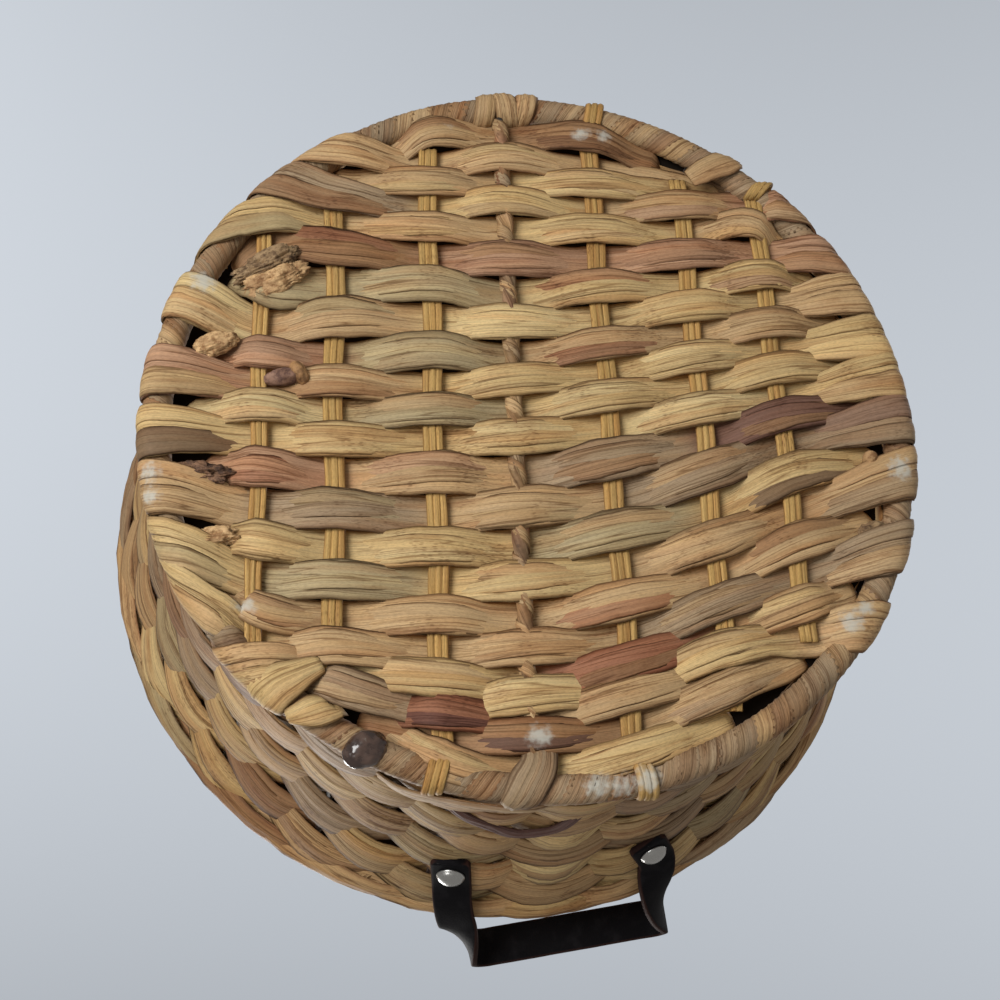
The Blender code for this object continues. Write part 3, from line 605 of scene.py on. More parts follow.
def row_strand(row):
    """Path, side and outward directions, width and place along the row."""
    left, _, right, _ = ROWS[row]
    knots = row_knots(row)
    first, last = knots[0][0], knots[-1][0]
    minus_u = np.linspace(first, last, int((last - first) / SAMPLE) + 2)
    v, z = row_place(row, minus_u), swing_height(knots, minus_u)
    path = np.stack([-minus_u, v, z], axis=1)
    slope = np.gradient(v, minus_u)
    side = unit(np.stack([slope, np.ones_like(slope), np.zeros_like(slope)], axis=1))
    out = np.broadcast_to(-UP, path.shape).copy()
    over = np.clip((UNDER_Z - z) / (UNDER_Z - OVER_Z), 0, 1) * 2 - 1
    room = np.maximum(row_pitch(row, minus_u), 0.0118 if row < 1 else 0.0124)
    width = room * (1.07 + 0.10 * np.clip(over, 0, 1) ** 1.2 + 0.15 * np.clip(-over, 0, 1))
    where = minus_u.copy()
    for end, at_left in ((left, True), (right, False)):
        edge_point, ahead = (path[0], path[0] - path[1]) if at_left else (path[-1], path[-1] - path[-2])
        angle = math.atan2(edge_point[1], edge_point[0])
        radial = np.array((math.cos(angle), math.sin(angle), 0.0))
        tangent = np.array((-math.sin(angle), math.cos(angle), 0.0))
        gap = abs(minus_u - (first if at_left else last))
        if end[0] == "fold":        # it goes straight on here and is bent over the hoop afterwards
            share = np.clip(1 - gap / 0.030, 0, 1)
            onward = unit(ahead * (1, 1, 0))
            facing = max(0.45, float(onward @ radial))
            band = FOLD_WIDTH * facing ** 0.5
            width = width * (1 - share) + np.maximum(band, width * 0.9) * share
            steps = np.arange(1, 11) / 10
            points = [edge_point + onward * step * 0.0168 / facing for step in steps]
            outs = [-UP] * len(points)
            widths = band * np.interp(steps, (0, 0.4, 0.8, 1.0), (1.0, 1.03, 0.96, 0.86))
            sides = np.stack([side[0] if at_left else side[-1]] * len(points))
        else:
            share = np.clip(1 - gap / 0.014, 0, 1)
            width = width * (1 - 0.22 * share)
            onward = unit(ahead * (1, 1, 0))
            points = [edge_point + onward * 0.0024 + UP * 0.0016, edge_point + onward * 0.0044 + UP * 0.0042]
            outs = [unit(onward * 0.6 - UP)] * 2
            widths = np.array((0.72, 0.58)) * 0.013
            sides = np.stack([side[0] if at_left else side[-1]] * 2)
        places = (first if at_left else last) + np.zeros(len(points))
        if at_left:
            points, outs, widths = points[::-1], outs[::-1], widths[::-1]
            path, out = np.concatenate([points, path]), np.concatenate([outs, out])
            width, side = np.concatenate([widths, width]), np.concatenate([sides, side])
            where, minus_u = np.concatenate([places, where]), np.concatenate([places, minus_u])
        else:
            path, out = np.concatenate([path, points]), np.concatenate([out, outs])
            width, side = np.concatenate([width, widths]), np.concatenate([side, sides])
            where, minus_u = np.concatenate([where, places]), np.concatenate([minus_u, places])
    return path, side, out, width, where


# %% [markdown]
# ## Layers and colours
# One float, the stretch between two dives, shows two or three layers, because the leaf
# was folded or doubled. The first strand runs the whole row. On each float a shorter one
# lies on top, shifted to one side, and its pointed ends sink into the first.
# %% Colours and layers of a row


def row_floats(row):
    """Middle and ends of each visible float, with its two colours."""
    left, crossings, right, words = ROWS[row]
    knots = row_knots(row)
    words = words.split()
    spans = []
    for number, (place, _, height, rib) in enumerate(knots):
        before, after = knots[max(number - 1, 0)][0], knots[min(number + 1, len(knots) - 1)][0]
        if rib is None and number == 0 and left[0] == "fold" and not is_over(row, knots[1][3]):
            spans.append((place - 0.016, place, after))
        elif rib is None and number and right[0] == "fold" and not is_over(row, knots[-2][3]):
            spans.append((before, place, place + 0.016))
        elif rib is not None and is_over(row, rib):
            start = before - 0.016 if number == 1 and left[0] == "fold" else before
            stop = after + 0.016 if number == len(knots) - 2 and right[0] == "fold" else after
            spans.append((start, place, stop))
    while len(words) < len(spans):
        words.append(words[-1])
    return [(span, word) for span, word in zip(spans, words)]


def float_tints(row, where, chance):
    """Colour at each station: each float's own, changing where the strand is inside."""
    floats = row_floats(row)
    middles = [span[1] for span, _ in floats]
    colours = [LEAF[word[0]] * chance.uniform(0.92, 1.08) for _, word in floats]
    if len(middles) == 1:
        return np.broadcast_to(colours[0], (len(where), 3))
    nearest = np.argmin(abs(where[:, None] - np.array(middles)[None]), axis=1)
    sharp = np.array(colours)[nearest]
    kernel = np.array((1, 2, 3, 2, 1)) / 9
    padded = np.concatenate([sharp[:1]] * 2 + [sharp] + [sharp[-1:]] * 2)
    return np.stack([np.convolve(padded[:, i], kernel, "valid") for i in range(3)], axis=1)


def weave_row(row):
    chance = np.random.default_rng(700 + row)
    path, side, out, width, where = row_strand(row)
    crown = 0.00038 * np.clip(width / 0.014, 0.4, 1.3)
    strands = [ribbon(path, side, width, 0.0011, float_tints(row, where, chance), 800 + row, out,
                      crown=crown, pleat=0.00012, folds=2.2)]
    left_fold, right_fold = ROWS[row][0][0] == "fold", ROWS[row][2][0] == "fold"
    for number, ((start, middle, stop), word) in enumerate(row_floats(row)):
        run = np.concatenate([[0], np.cumsum(np.linalg.norm(np.diff(path, axis=0), axis=1))])
        inside = np.where((where >= start - 0.002) & (where <= stop + 0.002))[0]
        if len(inside) < 6:
            continue
        flip = 1 if chance.random() < 0.5 else -1
        flip = {"+": 1, "-": -1}.get(word[2:], flip)
        folded = (left_fold and number == 0) or (right_fold and number == len(row_floats(row)) - 1)
        for layer in range(2):
            # each layer covers its own stretch of the float
            low = inside[0] + int(len(inside) * chance.uniform(0.0, 0.05))
            high = inside[-1] - int(len(inside) * chance.uniform(0.0, 0.05))
            if folded:
                low, high = (inside[0], high) if number == 0 else (low, inside[-1])
            picked = np.arange(low, high + 1)
            if len(picked) < 5:
                continue
            t = (run[picked] - run[picked[0]]) / (run[picked[-1]] - run[picked[0]])
            lens = np.sin(np.pi * np.clip(t, 0, 1)) ** 0.28
            soft = np.sin(np.pi * np.clip(t, 0, 1)) ** 0.6
            sway = chance.uniform(0.22, 0.42)
            shift = flip * (sway - chance.uniform(0.1, 0.5) * t) * (1 if layer == 0 else -0.9)
            ratio = (0.66 if layer == 0 else 0.42) * (0.6 + 0.4 * lens)
            if folded:
                soft = lens = np.clip((1 - t if number == 0 else t) / 0.35, 0, 1) ** 0.5
                shift = (-0.47 if layer == 0 else 0.62) * (-1 if word[2:] == "+" else 1) + 0.12 * t
                ratio = (0.54 if layer == 0 else 0.36) * (0.35 + 0.65 * lens)
            lift = (0.00040 + 0.00018 * layer) * soft - 0.0008 * (1 - soft)
            tint = (0.3 * LEAF[word[0]] + 0.7 * LEAF[word[1 - layer]]) * chance.uniform(0.88, 1.12)
            half = width[picked] / 2
            strands.append(ribbon(path[picked], side[picked], 2 * half * ratio, 0.0005, tint,
                                  chance.integers(1 << 30), out[picked], crown=0.0002, pleat=0.00008, folds=2.0,
                                  ragged=0.07, carrier=(shift, ratio, half, crown[picked], lift)))
    for strand in strands:
        if left_fold or right_fold:
            strand["verts"] = bend_over_hoop(strand["verts"])
        strand["verts"] = turn_weave(strand["verts"])
    return strands


# %% Weave the base
for row in ROWS:
    strands = weave_row(row)
    name = f"weft_{row + 1:02d}" if row >= 0 else f"weft_low_{-row}"
    strand_piece(name, strands, "basket", LEAF_FINISH,
                 (f"base_strand_{row + 1:02d}",) if row >= 0 else ())
print("woven rows:", len(ROWS), "strands in the last:", len(strands))

# %% [markdown]
# ## Stakes and the wound bar
# The six stakes are split cane, flat and ribbed, yellower than the leaf. Some end under
# the weave and some fold over the hoop. The middle rib is wire, wound with a twisted
# strand. A winding is one strand on a screw line round a middle line, so one helper makes
# the bar's winding here, and the two hoops' further down.
# %% Ribbed stakes
STAKES = (      # rib, width, low end, high end, whether each end goes over the hoop
    (0, 5.8, -99, 79, False, False), (1, 7.2, -101, 96, False, False), (2, 7.2, -130, 122, True, False),
    (4, 7.2, -128, 132, True, True), (5, 7.0, -116, 112, False, False), (6, 6.8, -90, 107, False, True))


def stake_strand(rib, width, low, high, low_over, high_over):
    u = RIBS[rib]
    v = np.arange(low, high + 1, 3.0) / 1000
    path = np.stack([np.full_like(v, u), v, np.full_like(v, STAKE_Z)], axis=1)
    path[:, 2] += 0.0004 * np.sin(2 * np.pi * v / 0.0262)
    path[:, 0] += 0.0006 * np.sin(2 * np.pi * v / 0.09 + rib)
    out = np.broadcast_to(-UP, path.shape)
    widths = np.full(len(v), width / 1000)
    for over, first in ((low_over, True), (high_over, False)):
        if not over:
            continue
        angle = math.atan2(v[0] if first else v[-1], u)
        swings = np.radians((-50, -25, 0, 25, 50, 75, 100, 125))
        points, outs = hoop_fold(angle, swings, 0.0014)
        wide = np.full(len(points), width / 1000)
        if first:
            points, outs = points[::-1], outs[::-1]
            path, out = np.concatenate([points, path]), np.concatenate([outs, out])
            widths = np.concatenate([wide, widths])
        else:
            path, out = np.concatenate([path, points]), np.concatenate([out, outs])
            widths = np.concatenate([widths, wide])
    canes = []
    chance = np.random.default_rng(40 + rib)
    for place in (-1, 0, 1):
        sway = place * widths / 3 + 0.00015 * wobble(np.arange(len(path)) * 0.003, chance, 0.05)
        middle = path + sway[:, None] * np.array((1.0, 0.0, 0.0)) + out * 0.0002 * (place == 0)
        canes.append(ribbon(middle, (1.0, 0.0, 0.0), widths / 3 * 1.22, 0.0013, LEAF["y"] * chance.uniform(0.86, 1.08),
                            chance.integers(1 << 30), out, crown=0.0004, pleat=0.0001, folds=2, ragged=0.05))
        canes[-1]["verts"] = turn_weave(canes[-1]["verts"])
    return canes


for number, stake in enumerate(sorted(STAKES, key=lambda s: RIBS[s[0]]), 1):
    strand_piece(f"cane_stake_{number}", stake_strand(*stake), "basket", STAKE_FINISH,
                 (f"base_stake_{number}",))
print("stakes:", len(STAKES))

# %% Windings


def winding(middles, first_side, second_side, radius, turns, width, tint, seed, start=0.0, thick=0.0011,
            slant=0.0):
    """A strand wound round a middle line given as rows of points with two side directions."""
    count = len(middles)
    screw = start + 2 * np.pi * turns * np.linspace(0, 1, count)
    ring = np.cos(screw)[:, None] * first_side + np.sin(screw)[:, None] * second_side
    tip = -np.sin(screw)[:, None] * first_side + np.cos(screw)[:, None] * second_side
    axis = unit(np.gradient(middles, axis=0))
    path = middles + ring * radius
    return ribbon(path, axis - tip * slant, width, thick, tint, seed, ring, crown=0.0004, pleat=0.00022,
                  folds=3.0, ragged=0.06)


def hoop_line(radius, height, start, stop, count):
    angle = np.linspace(start, stop, count)
    if radius == BASE_RADIUS:
        radius = hoop_radius(angle - WEAVE_TURN)[:, None]
    radial = np.stack([np.cos(angle), np.sin(angle), np.zeros(count)], axis=1)
    return radial * radius + UP * height, radial, np.broadcast_to(UP, radial.shape)


def mixed_tint(words, count, chance, run=9):
    """Colour that wanders between a few leaves along a strand."""
    keys = max(2, count // run)
    picked = np.array([LEAF[chance.choice(list(words))] * chance.uniform(0.85, 1.1) for _ in range(keys)])
    place = np.linspace(0, keys - 1, count)
    return np.stack([np.interp(place, np.arange(keys), picked[:, i]) for i in range(3)], axis=1)


chance = np.random.default_rng(11)
half_bar = 0.1365
bar_count = 260
bar_middles = np.stack([np.full(bar_count, RIBS[3]), np.linspace(-half_bar, half_bar, bar_count),
                        np.full(bar_count, STAKE_Z)], axis=1)
screw = np.pi * (bar_middles[:, 1] + 0.12) / 0.0131 * 0.5 + 0.35 * wobble(bar_middles[:, 1] + 0.2, chance, 0.07)
bar_across = np.stack([np.cos(screw), np.zeros(bar_count), np.sin(screw)], axis=1)
bar_turns = [ribbon(bar_middles, bar_across, 0.0066 + 0.0005 * wobble(bar_middles[:, 1] + 0.2, chance, 0.02),
                    0.0050, mixed_tint("tgtrt", bar_count, chance), 60, pleat=0.0002, folds=3.0, ragged=0.05)]
bar_turns.append(winding(bar_middles, np.broadcast_to((1.0, 0, 0), (bar_count, 3)),
                         np.broadcast_to((0, 0, 1.0), (bar_count, 3)), 0.00255, 21, 0.0052,
                         mixed_tint("tgt", bar_count, chance), 61, thick=0.0009))
for strand in bar_turns:
    strand["verts"] = turn_weave(strand["verts"])
strand_piece("bar_winding", bar_turns, "basket", BINDING_FINISH, ("bar_wrap",))

# %% [markdown]
# ## The two bound hoops
# Both hoops are wire wound slantwise with flat leaf, each turn lapping the one before.
# Two strands follow each other round the base hoop, so the laps lie at a steep slant.
# %% Bound hoops


def bound_hoop(name, radius, height, wrap, turns, width, words, stands_for, seed):
    chance = np.random.default_rng(seed)
    count = turns * 13
    strands = []
    for start in (0.0, math.pi):
        middles, radial, rising = hoop_line(radius, height, start, start + 2 * math.pi, count)
        strands.append(winding(middles, radial, rising, wrap - 0.0006, turns, width,
                               mixed_tint(words, count, chance, 11), seed + int(start), start, 0.0012))
    middles, radial, rising = hoop_line(radius, height, 0, 2 * math.pi, 181)
    core = ribbon(middles, rising, 2 * wrap - 0.0030, 2 * wrap - 0.0030, LEAF["d"], seed + 5, radial)
    return strand_piece(name, strands + [core], "basket", BINDING_FINISH, stands_for)


bound_hoop("base_hoop_binding", BASE_RADIUS, BASE_Z, BASE_WRAP, 56, 0.0094, "tggbg", ("base_hoop_wrap",), 21)
bound_hoop("rim_hoop_binding", RIM_RADIUS, RIM_Z, RIM_WRAP - 0.0014, 48, 0.0110, "ststg", ("rim_hoop_wrap",), 31)
print("hoops bound")

# %% [markdown]
# ## The wall
# The wall is twined: in each row two strands go round together and change places between
# the uprights, so each shows outside over every second upright. As they cross, one comes
# up from under the other, which gives the long slanting floats, each tucked under the
# next. On both sides of the front they slant towards the middle.
# %% Twined wall rows


def wall_strand(row, start_upright, seed):
    """One of a row's two strands, from an upright that it passes inside to the same one again.

    The first thing it gives is the place along the weave: odd inside, even outside."""
    chance = np.random.default_rng(seed)
    count = 241
    turned = np.linspace(start_upright + 1, start_upright + 1 + UPRIGHTS, count)
    angle = turned * 2 * math.pi / UPRIGHTS
    hand = np.tanh(np.sin(angle) * 5.0)
    stagger = hand * (0.62 if row % 2 else -0.62)
    phase = (turned - start_upright) * math.pi + stagger
    room = {0: 0.7, WALL_ROWS - 1: 0.8}.get(row, 1.0)
    middle = WALL_BOTTOM + WALL_PITCH * (row + 0.5)
    loose = 1 + 0.25 * wobble(angle, chance, 0.9)
    height = middle - hand * room * 0.0082 * np.sin(phase) * loose + 0.0010 * wobble(angle, chance, 1.1)
    out = 0.0006 + 0.0041 * np.cos(phase + hand * math.radians(34))
    path = np.array([wall_point(a, z, o) for a, z, o in zip(angle, height, out)])
    path[-1] = path[0]
    lean = np.array([wall_lean(z) for z in height])[:, None]
    outward = np.stack([np.sin(angle), -np.cos(angle), np.zeros(count)], axis=1)
    side = outward * (np.sin(lean) + 0.10) + UP * np.cos(lean)
    width = 0.0182 + 0.0028 * np.cos(phase + hand * math.radians(34)) + 0.0014 * wobble(angle, chance, 0.5)
    return (phase + hand * math.radians(34)) / math.pi, path, side, outward, width


def float_words(count, chance, words="sttsgtbstoptsg"):
    painted_wall_shade = np.array((1.02, 0.96, 0.89))      # painted shade: the wall is drawn warmer than the base, and its random darkening is partly painted shade
    return [LEAF[chance.choice(list(words))] * painted_wall_shade * chance.uniform(0.76, 1.0) for _ in range(count)]


def wall_row(row):
    strands = []
    for twin in range(2):
        start_upright = (row + twin) % 2
        seed = 300 + 10 * row + twin
        chance = np.random.default_rng(seed + 5)
        woven, path, side, outward, width = wall_strand(row, start_upright, seed)
        colours = float_words(UPRIGHTS // 2, chance)
        which = np.floor((woven - 1) / 2).astype(int) % len(colours)
        tint = np.array(colours)[which]
        tint = (np.roll(tint[:-1], 1, axis=0) + tint[:-1] + np.roll(tint[:-1], -1, axis=0)) / 3
        tint = np.concatenate([tint, tint[:1]])
        crown = np.full(len(path), 0.0004)
        strands.append(ribbon(path, side, width, 0.0011, tint, seed, outward, crown=crown, pleat=0.00013, folds=2.4))
        for number in range(UPRIGHTS // 2):
            away = woven - 2 - 2 * number
            picked = np.where(abs(away) < 0.92)[0]
            t = (away[picked] + 0.92) / 1.84
            for layer, word_share in enumerate((0.74, 0.40)[:1 + (chance.random() < 0.35)]):
                lens = np.sin(np.pi * np.clip(t, 0, 1)) ** 0.7
                flip = 1 if chance.random() < 0.5 else -1
                soft = np.sin(np.pi * np.clip(t, 0, 1)) ** 0.6
                ratio = word_share * (0.25 + 0.75 * lens)
                shift = flip * (0.30 - chance.uniform(0.0, 0.5) * t)
                lift = (0.0004 + 0.0002 * layer) * soft - 0.0008 * (1 - soft)
                half = width[picked] / 2
                colour = colours[number] * chance.uniform(0.86, 1.14)
                if chance.random() < 0.22:
                    colour = 0.5 * colour + 0.5 * float_words(1, chance, "bgdut")[0]
                strands.append(ribbon(path[picked], side[picked], 2 * half * ratio, 0.0005, colour,
                                      chance.integers(1 << 30), outward[picked], crown=0.0002, pleat=0.00008,
                                      folds=2.0, ragged=0.07, carrier=(shift, ratio, half, crown[picked], lift)))
    return strands


for row in range(WALL_ROWS):
    strands = wall_row(row)
    strand_piece(f"wall_weave_{row + 1}", strands, "basket", WALL_FINISH, (f"wall_row_{row + 1}",), chalky=False)
print("wall rows:", WALL_ROWS, "strands in each:", len(strands))

# %% [markdown]
# The last row lies outside the rim hoop and hides its binding from below. Its strands
# rest on the hoop's own round section, so they are placed by a swing about its middle.
# %% Strands along the rim


def rim_strand(twin):
    chance = np.random.default_rng(500 + twin)
    count = 261
    turned = np.linspace(twin + 1, twin + 1 + UPRIGHTS, count)
    angle = turned * 2 * math.pi / UPRIGHTS
    hand = np.tanh(np.sin(angle) * 5.0)
    phase = (turned - twin) * math.pi + hand * 0.62
    outward = np.stack([np.sin(angle), -np.cos(angle), np.zeros(count)], axis=1)
    swing = np.radians(52 - 20 * hand * np.sin(phase) + 6 * wobble(angle, chance, 0.8))[:, None]
    away = (RIM_WRAP - 0.0016 + 0.0011 * np.cos(phase + hand * 0.6))[:, None]
    normal = np.sin(swing) * outward - np.cos(swing) * UP
    path = outward * (RIM_RADIUS - 0.0004) + UP * RIM_Z + normal * away
    path[-1] = path[0]
    side = np.cos(swing) * outward + np.sin(swing) * UP
    colours = float_words(UPRIGHTS // 2, chance)
    which = np.floor(((phase + hand * 0.6) / math.pi - 1) / 2).astype(int) % len(colours)
    return ribbon(path, side, 0.0128 + 0.0010 * wobble(angle, chance, 0.5), 0.0011, np.array(colours)[which],
                  520 + twin, normal, crown=0.0014, pleat=0.0003, folds=3.2, ragged=0.07)


strand_piece("rim_strands", [rim_strand(0), rim_strand(1)], "basket", WALL_FINISH, chalky=False)

# %% [markdown]
# ## Leather straps
# Each handle is one strap of black leather. Its ends lie flat on the wall under the
# rivets, then it bends, turns a quarter round in each leg and runs on edge across the
# front. The path repeats the CAD model's numbers with more stations. One mesh joins the
# fixed ends and the grip.
# %% Strap path
STRAP_WIDTH, STRAP_THICKNESS = 0.016, 0.0028
RIVET_TO_END, RIVET_TO_FOLD, FLAT_RUN = 0.0096, 0.0085, 0.0030
GRIP_LENGTH, GRIP_RISE, GRIP_REACH, GRIP_SKEW = 0.084, 0.030, 0.010, 0.012
CORNER, RIM_CLEAR = 0.0070, 0.0008
STRAP_TILT = {1: 9.0, -1: 19.0}       # the ends lie askew under their rivets, in degrees
TWIST_START = {1: 0.52, -1: 0.15}     # share of the leg that is still flat
WASHER_TOP = STRAP_THICKNESS / 2 + 0.0003 + 0.0024 + 0.0009


def rivet_frame(side):
    low = WALL_BOTTOM + WALL_PITCH * 5 + 0.00015
    high = low + WALL_PITCH - 0.0003
    angle = 2 * math.pi / UPRIGHTS - math.asin(0.0074 / wall_radius(low))
    lift = 0.0015 + 0.0003 + 0.0012 + RIM_RADIUS * (1 - math.cos(math.radians(4.5)))
    foot, head = [Vector(wall_point(side * angle, z, lift)) for z in (low, high)]
    rising = (head - foot).normalized()
    sideways = Vector((math.sin(side * angle + math.pi / 2), -math.cos(side * angle + math.pi / 2), 0))
    normal = sideways.cross(rising)
    middle = (foot + head) / 2 + normal * (0.0012 + 0.0003 + STRAP_THICKNESS / 2)
    return Matrix.Translation(middle) @ Matrix((sideways, rising, normal)).transposed().to_4x4()


def strap_half(side):
    """Middle points and side directions from a strap's end to the middle of the grip."""
    place = rivet_frame(side) @ Matrix.Rotation(math.radians(STRAP_TILT[side]), 4, "Z")
    flat = -side * (place.to_3x3() @ Vector((1, 0, 0)))
    points = [place @ Vector((0, y, 0)) for y in np.linspace(-RIVET_TO_END, RIVET_TO_FOLD, 10)]
    sides = [flat.copy() for _ in points]
    bend = place @ Vector((0, RIVET_TO_FOLD + FLAT_RUN, 0))
    top = BASKET_HEIGHT + GRIP_RISE
    corner_x = side * (GRIP_LENGTH / 2 - STRAP_THICKNESS / 2) - GRIP_SKEW - (0.0028 if side < 0 else 0)
    reach_y = -(RIM_RADIUS + GRIP_REACH) - (0.0026 if side > 0 else -0.0010)
    top += 0.0010 if side > 0 else -0.0005
    rim_edge = math.sqrt((RIM_RADIUS + RIM_WRAP) ** 2 - bend.x ** 2)
    knee = Vector((bend.x, -(rim_edge + RIM_CLEAR + STRAP_WIDTH / 2), RIM_Z))
    leg_end = Vector((corner_x, reach_y, top - CORNER))
    for step in range(1, 29):
        share = step / 28
        points.append(bend.lerp(knee, share).lerp(knee.lerp(leg_end, share), share))
        twist = max(0.0, (share - TWIST_START[side]) / (1 - TWIST_START[side]))
        sides.append(flat.slerp(Vector((0, -1, 0)), twist))
    for step in range(1, 9):
        angle = math.radians(90) * step / 8
        points.append(Vector((corner_x - side * CORNER * (1 - math.cos(angle)), reach_y,
                              leg_end.z + CORNER * math.sin(angle))))
        sides.append(Vector((0, -1, 0)))
    return [np.array(p) for p in points], [np.array(s) for s in sides]


first_points, first_sides = strap_half(1)
last_points, last_sides = strap_half(-1)
between = [first_points[-1] * (1 - t) + last_points[-1] * t for t in np.linspace(0, 1, 22)[1:-1]]
strap_path = np.array(first_points + between + last_points[::-1])
strap_sides = np.array(first_sides + [np.array((0.0, -1.0, 0.0))] * len(between) + last_sides[::-1])
strap_run = np.concatenate([[0], np.cumsum(np.linalg.norm(np.diff(strap_path, axis=0), axis=1))])
print("strap length, mm:", round(strap_run[-1] * 1000, 1))

# %% [markdown]
# ## Leather and nickel
# The leather is black with a fine pebbled grain, worn a little lighter on raised parts,
# and its cut edges show the reddish brown of the hide. The rivets are nickel with a soft
# brushed haze.
# %% Leather and metal materials
grain, given, result = group("hide grain", [("Scale", "Float", 900.0)], [("Height", "Float"), ("Wear", "Float")])
place = node(grain, "ShaderNodeTexCoord").outputs["Object"]
cells = node(grain, "ShaderNodeTexVoronoi", {"Vector": place, "Scale": given.outputs["Scale"]},
             feature="DISTANCE_TO_EDGE").outputs["Distance"]
soft = node(grain, "ShaderNodeTexNoise", {"Vector": place, "Scale": 140.0, "Detail": 5.0}).outputs["Fac"]
grain.links.new(maths(grain, "ADD", maths(grain, "MULTIPLY", ramp(grain, cells, 0.0, 0.35), 0.5), soft),
                result.inputs["Height"])
grain.links.new(ramp(grain, soft, 0.48, 0.75), result.inputs["Wear"])

leather, tree, shader = plain_material("black leather")
hide = node(tree, "ShaderNodeGroup", node_tree=grain)
edge = node(tree, "ShaderNodeAttribute", attribute_name="edge").outputs["Fac"]
colour = blend_colour(tree, hide.outputs["Wear"], (0.0045, 0.004, 0.005, 1), (0.012, 0.011, 0.0125, 1))
colour = blend_colour(tree, ramp(tree, edge, 0.55, 0.95), colour, (0.030, 0.013, 0.010, 1))
raised = node(tree, "ShaderNodeBump", {"Strength": 0.35, "Distance": 0.0003, "Height": hide.outputs["Height"]})
tree.links.new(colour, shader.inputs["Base Color"])
tree.links.new(raised.outputs[0], shader.inputs["Normal"])
tree.links.new(ramp(tree, hide.outputs["Wear"], 0.0, 1.0, 0.74, 0.84), shader.inputs["Roughness"])
shader.inputs["Specular IOR Level"].default_value = 0.08

nickel, tree, shader = plain_material("brushed nickel")
place = node(tree, "ShaderNodeTexCoord").outputs["Object"]
haze = node(tree, "ShaderNodeTexNoise", {"Vector": place, "Scale": 900.0, "Detail": 4.0}).outputs["Fac"]
tree.links.new(ramp(tree, haze, 0.35, 0.7, 0.26, 0.36), shader.inputs["Roughness"])
tree.links.new(blend_colour(tree, haze, (0.42, 0.42, 0.41, 1), (0.50, 0.49, 0.47, 1)), shader.inputs["Base Color"])
shader.inputs["Metallic"].default_value = 1.0

iron, tree, shader = plain_material("iron wire with rust")
place = node(tree, "ShaderNodeTexCoord").outputs["Object"]
rust = node(tree, "ShaderNodeTexNoise", {"Vector": place, "Scale": 260.0, "Detail": 5.0}).outputs["Fac"]
tree.links.new(blend_colour(tree, ramp(tree, rust, 0.5, 0.7), (0.10, 0.095, 0.09, 1), (0.16, 0.07, 0.035, 1)),
               shader.inputs["Base Color"])
tree.links.new(ramp(tree, rust, 0.4, 0.7, 0.35, 0.8), shader.inputs["Roughness"])
tree.links.new(ramp(tree, rust, 0.45, 0.65, 0.95, 0.2), shader.inputs["Metallic"])
print("metal and leather materials ready")

# %% Handles


def turned_mesh(name, outline, place, steps=40):
    """Round piece from half its section, a closed or open line of radius and height."""
    bm = bmesh.new()
    rings = []
    for radius, height in outline:
        if radius < 1e-6:
            rings.append([bm.verts.new(place @ Vector((0, 0, height)))])
        else:
            rings.append([bm.verts.new(place @ Vector((radius * math.cos(2 * math.pi * i / steps),
                                                       radius * math.sin(2 * math.pi * i / steps), height)))
                          for i in range(steps)])
    pairs = zip(rings, rings[1:] + (rings[:1] if len(rings[0]) > 1 else []))
    for low, high in pairs:
        for i in range(steps):
            j = (i + 1) % steps
            corners = [low[i % len(low)], low[j % len(low)], high[j % len(high)], high[i % len(high)]]
            corners = list(dict.fromkeys(corners))
            if len(corners) > 2:
                bm.faces.new(corners)
    bmesh.ops.recalc_face_normals(bm, faces=bm.faces)
    mesh = bpy.data.meshes.new(name)
    bm.to_mesh(mesh)
    bm.free()
    mesh.shade_smooth()
    mesh.set_sharp_from_angle(angle=math.radians(40))
    made = bpy.data.objects.new(name, mesh)
    bpy.context.scene.collection.objects.link(made)
    return made


def dome_outline():
    foot = STRAP_THICKNESS / 2 + 0.0002
    depth = WASHER_TOP + 0.0012 + 0.0006
    line = [(0.0, foot + 0.0036)]
    for step in range(1, 9):
        angle = math.radians(82) * step / 8
        line.append((0.0053 * math.sin(angle), foot + 0.0005 + 0.0031 * math.cos(angle)))
    line += [(0.0056, foot + 0.0006), (0.0057, foot + 0.0003), (0.0056, foot), (0.0015, foot),
             (0.0015, -depth + 0.0003), (0.0012, -depth), (0.0, -depth)]
    return line


def washer_outline():
    top = -WASHER_TOP
    foot = top - 0.0012
    return [(0.0018, top), (0.0046, top), (0.0050, top - 0.0003), (0.0050, foot + 0.0003), (0.0046, foot),
            (0.0018, foot)]


def make_handle(word, half_turn):
    spin = np.array(half_turn.to_3x3())
    ends = np.minimum(strap_run, strap_run[-1] - strap_run)
    width = STRAP_WIDTH * np.interp(ends, (0, 0.0005, 0.0012, 0.0022), (0.86, 0.94, 0.985, 1.0))
    strap = ribbon(strap_path @ spin.T, strap_sides @ spin.T, width, STRAP_THICKNESS, (0, 0, 0), 5,
                   ragged=0.006, strap=True)
    piece = strand_piece(f"{word}_strap", [strap], f"{word}_handle", leather,
                         (f"{word}_grip", f"{word}_left_strap_end", f"{word}_right_strap_end"),
                         chalky=False)
    for side, label in ((-1, "left"), (1, "right")):
        place = half_turn @ rivet_frame(side)
        rivet = turned_mesh(f"{word}_{label}_rivet_dome", dome_outline(), place)
        washer = turned_mesh(f"{word}_{label}_washer_disc", washer_outline(), place)
        for made, node_name in ((rivet, f"{word}_{label}_rivet"), (washer, f"{word}_{label}_rivet_washer")):
            made.data.materials.append(nickel)
            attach(made, "basket")
            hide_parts(node_name)
    return piece


